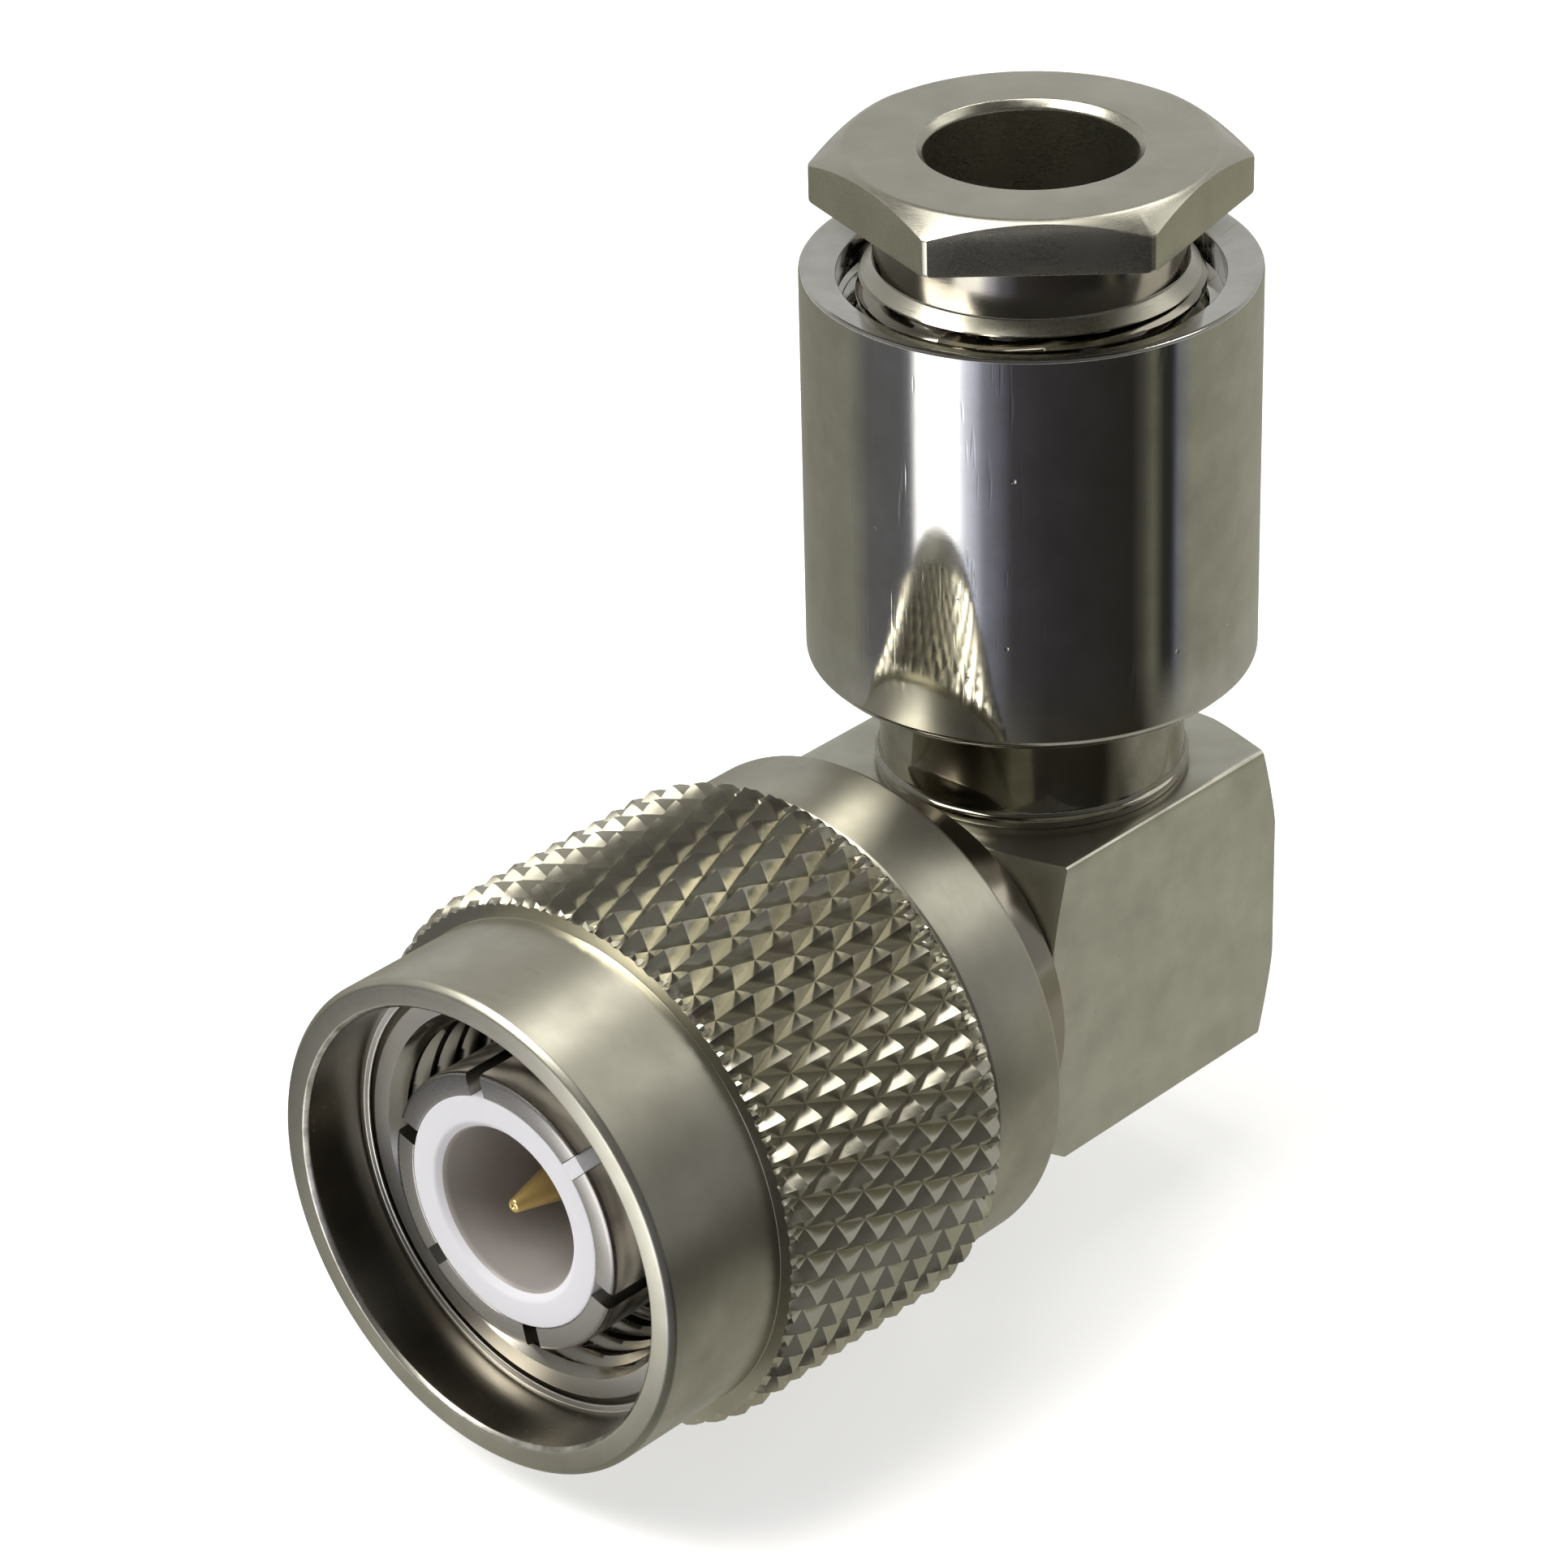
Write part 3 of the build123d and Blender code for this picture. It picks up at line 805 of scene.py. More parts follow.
@dataclass(frozen=True)
class ScrewThread:
    """A right-hand thread cut in a turned bore or on a turned stem."""

    low: float
    high: float
    radius: float
    depth: float
    pitch: float
    inside: bool
    root_share: float = 0.10
    open_share: float = 0.70
    steps: int = 10  # rings in one turn

    def radius_at(self, along: Signal, angle: Signal, plain: Signal) -> Signal:
        """The radius of the threaded surface.

        Args:
            along: Place along the axis, in millimetres.
            angle: Angle about the axis.
            plain: The radius before the thread is cut.

        Returns:
            The radius in millimetres.
        """
        phase = along / self.pitch - angle / math.tau
        share = phase.from_whole() * 2.0
        groove = ((self.open_share - share) / (self.open_share - self.root_share)).clamped()
        if self.inside:
            return plain.maths("MAXIMUM", groove * self.depth + self.radius)
        return plain.maths("MINIMUM", self.radius - groove * self.depth)

    def rows(self) -> list[float]:
        """Places of the rings that carry the thread, from low to high."""
        count = round((self.high - self.low) / self.pitch * self.steps)
        return [self.low + (self.high - self.low) * step / count for step in range(1, count)]


def open_tree(name: str, setting: str, kind: str, value: float) -> tuple[Bench, bpy.types.Node]:
    """Start a tree of geometry nodes with a mesh and one setting going in.

    Args:
        name: The tree's name.
        setting: The setting's name.
        kind: Its type of socket.
        value: Its usual value.

    Returns:
        The tree's bench and its Group Input node.
    """
    tree = bpy.data.node_groups.new(name, "GeometryNodeTree")
    tree.interface.new_socket("Blank", in_out="INPUT", socket_type="NodeSocketGeometry")
    tree.interface.new_socket(setting, in_out="INPUT", socket_type=kind).default_value = value
    tree.interface.new_socket("Finished", in_out="OUTPUT", socket_type="NodeSocketGeometry")
    bench = Bench(tree)
    return bench, bench.node("NodeGroupInput")


def close_tree(bench: Bench, shape: bpy.types.NodeSocket, material: bpy.types.Material
               ) -> bpy.types.NodeTree:
    """End a tree of geometry nodes in Realize Instances and Set Material.

    Args:
        bench: The tree's bench.
        shape: The geometry so far.
        material: The material that the tree sets.

    Returns:
        The node tree.
    """
    whole = bench.node("GeometryNodeRealizeInstances", None, {0: shape})
    dressed = bench.node("GeometryNodeSetMaterial", None, {
        "Geometry": whole.outputs[0], "Material": material,
    })
    bench.node("NodeGroupOutput", None, {"Finished": dressed.outputs[0]})
    return bench.tree


def relief_tree(axis: TurningAxis, knurl: Knurl | None, thread: ScrewThread | None,
                material: bpy.types.Material) -> bpy.types.NodeTree:
    """Geometry nodes that roll a knurl and cut a thread on a turned mesh.

    Args:
        axis: What the mesh was turned about.
        knurl: The knurl for the points of its zone.
        thread: The thread for the points of its zone.
        material: The material that the tree sets.

    Returns:
        The node tree.
    """
    bench, entry = open_tree("turned_relief", "Relief", "NodeSocketFloat", 1.0)
    x, y, z = (part / MM for part in bench.parts(bench.node("GeometryNodeInputPosition").outputs[0]))
    mating = axis is TurningAxis.MATING
    along, across, up = (x + REACH, y, z) if mating else (z, x + REACH, y)
    plain = (across * across + up * up).maths("SQRT")
    angle = up.maths("ARCTAN2", across)
    zone = bench.signal(bench.node("GeometryNodeInputNamedAttribute", {"data_type": "INT"},
                                   {"Name": "zone"}).outputs[0])
    radius = plain
    for kind, rule in ((Zone.KNURL, knurl), (Zone.THREAD, thread)):
        if not rule:
            continue
        shaped = (rule.radius_at(along, angle) if isinstance(rule, Knurl)
                  else rule.radius_at(along, angle, plain))
        here = zone.maths("COMPARE", float(kind.value), SAME_ZONE)
        radius = radius + (shaped - plain) * here
    growth = 1.0 + (radius / plain - 1.0) * bench.signal(entry.outputs["Relief"])
    across, up = across * growth, up * growth
    moved = (x, across, up) if mating else (across - REACH, up, z)
    rolled = bench.node("GeometryNodeSetPosition", None, {
        "Geometry": entry.outputs["Blank"], "Position": bench.vector(*(part * MM for part in moved)),
    })
    return close_tree(bench, rolled.outputs[0], material)


def slot_tree(count: int, first_deg: float, low: Sequence[float], high: Sequence[float],
              material: bpy.types.Material) -> bpy.types.NodeTree:
    """Geometry nodes that mill evenly spaced slots in a tube on the mating axis.

    Args:
        count: How many slots.
        first_deg: Where the first one stands, from +Y towards +Z.
        low: Lowest corner of the cutter that stands on +Y, in millimetres.
        high: Its highest corner.
        material: The material that the tree sets.

    Returns:
        The node tree.
    """
    bench, entry = open_tree("milled_slots", "Slots", "NodeSocketInt", count)
    size, middle = size_and_middle(low, high)
    cutter = bench.node("GeometryNodeMeshCube", None, {"Size": size})
    moved = bench.node("GeometryNodeTransform", None, {
        "Geometry": cutter.outputs[0], "Translation": middle,
    })
    seats = bench.node("GeometryNodePoints", None, {"Count": entry.outputs["Slots"]})
    index = bench.signal(bench.node("GeometryNodeInputIndex").outputs[0])
    turn = index * (math.tau / count) + math.radians(first_deg)
    rotation = bench.node("FunctionNodeEulerToRotation", None, {0: bench.vector(turn)})
    spread = bench.node("GeometryNodeInstanceOnPoints", None, {
        "Points": seats.outputs[0], "Instance": moved.outputs[0], "Rotation": rotation.outputs[0],
    })
    cutters = bench.node("GeometryNodeRealizeInstances", None, {0: spread.outputs[0]})
    milled = bench.node("GeometryNodeMeshBoolean", {"operation": Cut.REST.value, "solver": "EXACT"}, {
        "Mesh 1": entry.outputs["Blank"], "Mesh 2": cutters.outputs[0],
    })
    return close_tree(bench, milled.outputs[0], material)


def nodes_modifier(tree: bpy.types.NodeTree, values: Mapping[str, Any]) -> AddModifiers:
    """Make the function that adds a tree of geometry nodes to an object.

    Args:
        tree: The tree.
        values: Values of its inputs, by name.

    Returns:
        The function, for baked().
    """

    def add(holder: bpy.types.Object) -> None:
        """Add the tree, with its inputs set by identifier.

        Args:
            holder: The object.
        """
        modifier = holder.modifiers.new(tree.name, "NODES")
        modifier.node_group = tree
        for item in tree.interface.items_tree:
            if item.in_out == "INPUT" and item.name in values:
                modifier[item.identifier] = values[item.name]

    return add


@dataclass
class CouplingNut:
    """The knurled nut that screws on the jack, with its inside thread."""

    rear: float = 7.70
    length: float = 15.77
    rear_radius: float = 7.62
    rear_length: float = 2.97
    front_radius: float = 7.43
    knurl_length: float = 8.57
    core: float = 7.45
    thread_radius: float = 5.20
    thread_depth: float = 0.36
    thread_length: float = 7.20
    thread_pitch: float = 25.4 / 28
    relief_radius: float = 5.70
    mouth_depth: float = 2.25
    mouth_radius: float = 6.55
    mouth_bevel: float = 0.12
    mouth_ring: float = 0.20
    lip: float = 2.10
    land: float = 0.80
    ring_room: float = 1.00
    ring_radius: float = 5.57
    bore: float = 5.07
    front_bevel: float = 0.16
    groove_start: float = 0.30  # from the knurl back to where the groove behind it begins
    groove_foot: float = 0.14  # from the knurl back to where that groove's floor begins

    @property
    def front(self) -> float:
        """Place of the front edge."""
        return self.rear + self.length

    @property
    def floor(self) -> float:
        """Place of the mouth's floor."""
        return self.front - self.mouth_depth

    def outline(self, knurl: Knurl, thread: ScrewThread) -> list[Corner]:
        """The turned section.

        Args:
            knurl: Gives the rings of the knurled band.
            thread: Gives the rings of the thread.

        Returns:
            The outline's corners.
        """
        front, floor = self.front, self.floor
        groove_out = self.mouth_radius - self.mouth_ring
        groove_in = groove_out - self.mouth_ring
        ring_rear = self.rear + self.lip
        land_rear = ring_rear + self.ring_room
        thread_rear = floor - self.thread_length
        band = [Corner(along, knurl.radius - knurl.depth, zone=Zone.KNURL) for along in knurl.rows()]
        turns = [Corner(along, max(self.thread_radius, self.thread_radius + along - floor
                                   + self.thread_depth), zone=Zone.THREAD)
                 for along in reversed(thread.rows())]
        return [
            Corner(self.rear, self.bore, 0.08), Corner(self.rear, self.rear_radius, 0.16),
            Corner(knurl.rear - self.groove_start, self.rear_radius, 0.05),
            Corner(knurl.rear - self.groove_foot, self.core, 0.04),
            Corner(knurl.rear, self.core), *band, Corner(knurl.front, self.front_radius, 0.04),
            Corner(front - self.front_bevel, self.front_radius, 0.06),
            Corner(front, self.front_radius - self.front_bevel, 0.06),
            Corner(front, self.mouth_radius + self.mouth_bevel, 0.04),
            Corner(front - self.mouth_bevel, self.mouth_radius, 0.04),
            Corner(floor, self.mouth_radius, 0.03), Corner(floor, groove_out, 0.05),
            Corner(floor - self.mouth_ring, groove_out), Corner(floor - self.mouth_ring, groove_in),
            Corner(floor, groove_in, 0.05),
            Corner(floor, self.thread_radius + self.thread_depth, zone=Zone.THREAD), *turns,
            Corner(thread_rear, self.thread_radius, zone=Zone.THREAD),
            Corner(thread_rear - self.thread_depth, self.relief_radius),
            Corner(land_rear + self.land, self.relief_radius), Corner(land_rear + self.land, self.bore),
            Corner(land_rear, self.bore), Corner(land_rear, self.ring_radius),
            Corner(ring_rear, self.ring_radius), Corner(ring_rear, self.bore),
        ]

    def build(self) -> None:
        """Turn the nut, roll its knurl, cut its thread and dress it."""
        knurl_rear = self.rear + self.rear_length
        knurl = Knurl(knurl_rear, knurl_rear + self.knurl_length)
        thread = ScrewThread(self.floor - self.thread_length, self.floor, self.thread_radius,
                             self.thread_depth, self.thread_pitch, inside=True)
        blank = TurnedOutline(TurningAxis.MATING, self.outline(knurl, thread),
                              segments=knurl.teeth * knurl.steps, diamond=knurl.steps)
        tree = relief_tree(TurningAxis.MATING, knurl, thread, NUT_SATIN.material())
        mesh = baked(blank.mesh("coupling_nut_blank"), nodes_modifier(tree, {"Relief": 1.0}))

        def finish_at(place: Vector) -> Finish:
            """Tell the bright knurl from the satin nut, and the places of painted light: painted shade on
            the mouth's wall and thread, a painted highlight on the mouth's floor, and a painted highlight
            with wear on the mouth's edge.

            Args:
                place: The middle of a face, in millimetres.

            Returns:
                Its finish.
            """
            along, radius = place.x + REACH, math.hypot(place.y, place.z)
            inside = along > self.rear + FACE_GAP
            if along > self.front - self.mouth_bevel and radius < self.mouth_radius + self.mouth_bevel:
                return WORN_EDGE_AND_PAINTED_HIGHLIGHT
            if inside and radius < self.thread_radius + self.thread_depth:
                return THREAD_PAINTED_SHADE
            if abs(along - self.floor) < 4 * FACE_GAP:
                return MOUTH_FLOOR_PAINTED_HIGHLIGHT
            if inside and radius < self.mouth_radius + self.mouth_bevel / 2:
                return MOUTH_PAINTED_SHADE
            if knurl.rear - 2 * FACE_GAP < along < knurl.front + 2 * FACE_GAP:
                return KNURL_BRIGHT
            return NUT_SATIN

        Piece("knurled_coupling_nut", "coupling_nut", "coupling_nut", NUT_SATIN).put(mesh, finish_at)


@dataclass
class FrontContacts:
    """The outer contact, the white insulator and the pin inside the nut's mouth."""

    contact_rear: float = 8.70
    gasket_front: float = 13.30
    seat_radius: float = 3.85
    contact_radius: float = 4.18
    insulator_radius: float = 3.49
    front_depth: float = 0.20
    slot_count: int = 6
    slot_width: float = 0.55
    slot_length: float = 4.30
    slot_first_deg: float = 43.0
    cutter_margin: float = 0.15  # of the slots' cutter, past the tube's wall
    cutter_front: float = 1.0
    key_length: float = 2.20
    key_root: float = 0.30
    key_gap: float = 0.04
    key_drop: float = 0.02
    insulator_rear: float = 6.0
    socket_radius: float = 2.45
    socket_depth: float = 8.30
    socket_bevel: float = 0.24
    stem_radius: float = 1.05
    stem_rear: float = -1.60
    root_radius: float = 0.85
    root_length: float = 1.60
    pin_radius: float = 0.67
    pin_setback: float = 0.38
    pin_taper: float = 2.20
    tip_radius: float = 0.19
    tip_hole: float = 0.09
    tip_hole_depth: float = 0.15
    solder_slot: float = 0.95
    solder_slot_length: float = 2.90
    solder_slot_floor: float = -0.55
    saw_height: float = 2.0
    saw_margin: float = 0.1

    @property
    def socket_floor(self) -> float:
        """Place of the floor of the insulator's socket."""
        return REACH - self.socket_depth

    @property
    def step(self) -> float:
        """Place where the pin's narrow root meets its stem."""
        return self.socket_floor - self.root_length

    def outer_contact(self) -> None:
        """Turn the spring tube and mill its slots."""
        blank = TurnedOutline(TurningAxis.MATING, [
            Corner(self.contact_rear, self.insulator_radius), Corner(self.contact_rear, self.seat_radius),
            Corner(self.gasket_front, self.seat_radius),
            Corner(self.gasket_front, self.contact_radius, 0.05),
            Corner(REACH, self.contact_radius, 0.16), Corner(REACH, self.insulator_radius, 0.04),
        ], segments=216)
        low = (-self.slot_length, self.insulator_radius - self.cutter_margin, -self.slot_width / 2)
        high = (self.cutter_front, self.contact_radius + self.cutter_margin, self.slot_width / 2)
        tree = slot_tree(self.slot_count, self.slot_first_deg, low, high, CONTACT_BRIGHT.material())
        mesh = baked(blank.mesh("contact_blank"), nodes_modifier(tree, {"Slots": self.slot_count}))

        def finish_at(place: Vector) -> Finish:
            """Tell the bright front from the tube, which is darker with painted shade."""
            return CONTACT_BRIGHT if place.x > -self.front_depth else CONTACT_TUBE_PAINTED_SHADE

        Piece("slotted_outer_contact", "outer_contact", "plug_body", CONTACT_BRIGHT).put(mesh, finish_at)

    def insulator(self) -> None:
        """Turn the white socket and add its key."""
        floor = self.socket_floor
        mesh = TurnedOutline(TurningAxis.MATING, [
            Corner(self.insulator_rear, self.stem_radius),
            Corner(self.insulator_rear, self.insulator_radius),
            Corner(REACH, self.insulator_radius, 0.07),
            Corner(REACH, self.socket_radius + self.socket_bevel, 0.08),
            Corner(REACH - self.socket_bevel, self.socket_radius, 0.10),
            Corner(floor, self.socket_radius, 0.10), Corner(floor, self.root_radius),
            Corner(self.step, self.root_radius), Corner(self.step, self.stem_radius),
        ], segments=192).mesh("front_insulator")
        half = self.slot_width / 2 - self.key_gap / 2
        key = box_mesh("insulator_key", (-self.key_length, self.insulator_radius - self.key_root, -half),
                       (-self.key_drop, self.contact_radius - self.key_gap, half))
        key.transform(Matrix.Rotation(math.radians(self.slot_first_deg), 4, "X"))

        def finish_at(place: Vector) -> Finish:
            """Tell the socket, darkened with painted shade, from the white face."""
            inside = math.hypot(place.y, place.z) < self.socket_radius + self.socket_bevel / 2
            return SOCKET_PAINTED_SHADE if inside and place.x < -self.socket_bevel / 2 else INSULATOR_WHITE

        Piece("front_insulator_socket", "front_insulator", "plug_body", INSULATOR_WHITE).put(
            joined([mesh, key]), finish_at)

    def pin(self) -> None:
        """Turn the gold pin and saw its solder slot."""
        tip = REACH - self.pin_setback
        floor = self.socket_floor
        mesh = TurnedOutline(TurningAxis.MATING, [
            Corner(self.stem_rear, 0.0), Corner(self.stem_rear, self.stem_radius, 0.06),
            Corner(self.step, self.stem_radius), Corner(self.step, self.root_radius),
            Corner(floor, self.root_radius), Corner(floor, self.pin_radius),
            Corner(tip - self.pin_taper, self.pin_radius, 0.30), Corner(tip, self.tip_radius, 0.07),
            Corner(tip, self.tip_hole, 0.02), Corner(tip - self.tip_hole_depth, 0.0),
        ], segments=96).mesh("pin_blank")
        stem_end, half = self.stem_rear - REACH, self.solder_slot / 2
        slot = box_mesh("solder_slot", (stem_end - self.saw_margin, -half, self.solder_slot_floor),
                        (stem_end + self.solder_slot_length, half, self.saw_height))
        sawn = baked(mesh, lambda holder: cut(holder, slot, Cut.REST))
        Piece("gold_centre_pin", "centre_contact", "plug_body", PIN_GOLD).put(sawn)

    def build(self) -> None:
        """Build the three pieces."""
        self.outer_contact()
        self.insulator()
        self.pin()


@dataclass
class PlugBody:
    """The square block, the sleeve in its front and the barrel on its top."""

    block_width: float = 10.25
    block_height: float = 9.75
    block_front: float = 5.20
    block_rear: float = -5.15
    end_flat_radius: float = 5.40
    end_cone_deg: float = 23.5
    edge: float = 0.14
    edge_steps: int = 3
    cavity_radius: float = 3.40
    spigot_radius: float = 4.30
    spigot_length: float = 1.50
    cap_radius: float = 4.00
    cap_thickness: float = 1.20
    barrel_spigot: float = 3.60
    spigot_foot: float = 3.55
    core_bore: float = 2.20
    flange_radius: float = 5.65
    flange_front: float = 7.60
    sleeve_radius: float = 5.00
    sleeve_front: float = 12.10
    groove_radius: float = 4.50
    ring_rear: float = 9.90
    ring_front: float = 10.70
    contact_rear: float = FrontContacts.contact_rear
    contact_seat: float = FrontContacts.seat_radius
    insulator_radius: float = FrontContacts.insulator_radius
    neck_radius: float = 4.45
    neck_top: float = 8.43
    collar_radius: float = 4.55
    collar_height: float = 0.32
    barrel_radius: float = 6.53
    barrel_length: float = 12.16
    barrel_floor: float = 1.80
    barrel_bevel: float = 0.28
    chamber_radius: float = 5.00
    rim_bore_radius: float = 5.48
    rim_bore_depth: float = 1.10
    rim_drop: float = 0.22
    thread_start: float = 5.0  # above the chamber's floor
    thread_depth: float = 0.34
    thread_pitch: float = 0.75
    cutter_margin: float = 0.5  # of the boring tools, past the block
    end_margin: float = 0.001  # of the coned ends, past the sawn bar

    @property
    def spigot_rear(self) -> float:
        """Place of the rear end of the front body."""
        return self.block_front - self.spigot_length

    def block(self) -> None:
        """Saw the bar, turn its ends and bore it."""
        half_width, half_height = self.block_width / 2, self.block_height / 2
        bar = box_mesh("bar", (self.block_rear - REACH, -half_width, -half_height),
                       (self.block_front - REACH, half_width, half_height))
        out = self.block_width
        drop = (out - self.end_flat_radius) * math.tan(math.radians(self.end_cone_deg))
        rear, front = self.block_rear - self.end_margin, self.block_front + self.end_margin
        ends = TurnedOutline(TurningAxis.MATING, [
            Corner(rear, 0.0), Corner(rear, self.end_flat_radius),
            Corner(self.block_rear + drop, out), Corner(self.block_front - drop, out),
            Corner(front, self.end_flat_radius), Corner(front, 0.0),
        ], segments=360).mesh("coned_ends")
        cap_front = self.block_rear + self.cap_thickness
        rear, front = self.block_rear - self.cutter_margin, self.block_front + self.cutter_margin
        bore = TurnedOutline(TurningAxis.MATING, [
            Corner(rear, 0.0), Corner(rear, self.cap_radius),
            Corner(cap_front, self.cap_radius), Corner(cap_front, self.cavity_radius),
            Corner(self.spigot_rear, self.cavity_radius), Corner(self.spigot_rear, self.spigot_radius),
            Corner(front, self.spigot_radius), Corner(front, 0.0),
        ], segments=144).mesh("cross_bore")
        top = half_height + self.cutter_margin
        seat = TurnedOutline(TurningAxis.CABLE, [
            Corner(0.0, 0.0), Corner(0.0, self.core_bore), Corner(self.spigot_foot, self.core_bore),
            Corner(self.spigot_foot, self.barrel_spigot), Corner(top, self.barrel_spigot),
            Corner(top, 0.0),
        ], segments=144).mesh("barrel_seat")

        def machine(holder: bpy.types.Object) -> None:
            """Break the bar's edges, then turn its ends, then bore.

            Args:
                holder: The bar.
            """
            bevel = holder.modifiers.new("edges", "BEVEL")
            bevel.width = self.edge * MM
            bevel.segments = self.edge_steps
            cut(holder, ends, Cut.COMMON)
            cut(holder, bore, Cut.REST)
            cut(holder, seat, Cut.REST)

        Piece("square_angle_block", "angle_block", "plug_body", BLOCK_SATIN).put(baked(bar, machine))

    def sleeve(self) -> None:
        """Turn the front body."""
        mesh = TurnedOutline(TurningAxis.MATING, [
            Corner(self.spigot_rear, self.insulator_radius),
            Corner(self.spigot_rear, self.spigot_radius), Corner(self.block_front, self.spigot_radius),
            Corner(self.block_front, self.flange_radius, 0.06),
            Corner(self.flange_front, self.flange_radius, 0.14),
            Corner(self.flange_front, self.sleeve_radius), Corner(self.ring_rear, self.sleeve_radius),
            Corner(self.ring_rear, self.groove_radius), Corner(self.ring_front, self.groove_radius),
            Corner(self.ring_front, self.sleeve_radius),
            Corner(self.sleeve_front, self.sleeve_radius, 0.14),
            Corner(self.sleeve_front, self.contact_seat), Corner(self.contact_rear, self.contact_seat),
            Corner(self.contact_rear, self.insulator_radius),
        ], segments=216).mesh("front_body")
        Piece("front_body_sleeve", "front_body", "plug_body", BODY_SLEEVE).put(mesh)

    def barrel(self) -> None:
        """Turn the barrel and cut its inside thread."""
        foot = self.block_height / 2
        collar_top = foot + self.collar_height
        rim = self.neck_top + self.barrel_length
        floor = self.neck_top + self.barrel_floor
        flare = self.collar_radius - self.neck_radius
        thread_top = rim - self.rim_bore_depth
        thread = ScrewThread(floor + self.thread_start, thread_top, self.chamber_radius,
                             self.thread_depth, self.thread_pitch, inside=True)
        turns = [Corner(height, self.chamber_radius, zone=Zone.THREAD)
                 for height in reversed(thread.rows())]
        blank = TurnedOutline(TurningAxis.CABLE, [
            Corner(self.spigot_foot, self.core_bore), Corner(self.spigot_foot, self.barrel_spigot),
            Corner(foot, self.barrel_spigot), Corner(foot, self.collar_radius, 0.05),
            Corner(collar_top, self.collar_radius, 0.16),
            Corner(collar_top + flare / 2, self.neck_radius, 0.16),
            Corner(self.neck_top, self.neck_radius, 0.10),
            Corner(self.neck_top, self.barrel_radius - self.barrel_bevel, 0.08),
            Corner(self.neck_top + self.barrel_bevel, self.barrel_radius, 0.10),
            Corner(rim, self.barrel_radius, 0.14), Corner(rim - self.rim_drop, self.rim_bore_radius, 0.05),
            Corner(thread_top, self.rim_bore_radius), *turns, Corner(floor, self.chamber_radius),
            Corner(floor, self.core_bore),
        ], segments=320)
        tree = relief_tree(TurningAxis.CABLE, None, thread, BARREL_BRIGHT.material())
        mesh = baked(blank.mesh("barrel_blank"), nodes_modifier(tree, {"Relief": 1.0}))

        def finish_at(place: Vector) -> Finish:
            """Tell the neck, darkened with painted shade, from the bright barrel.

            Args:
                place: The middle of a face, in millimetres.

            Returns:
                Its finish.
            """
            radius = math.hypot(place.x + REACH, place.y)
            neck = place.z < self.neck_top and radius > self.core_bore + 10 * FACE_GAP
            return BARREL_NECK_PAINTED_SHADE if neck else BARREL_BRIGHT

        Piece("bright_cable_barrel", "cable_barrel", "plug_body", BARREL_BRIGHT).put(mesh, finish_at)

    def build(self) -> None:
        """Build the three pieces."""
        self.block()
        self.sleeve()
        self.barrel()


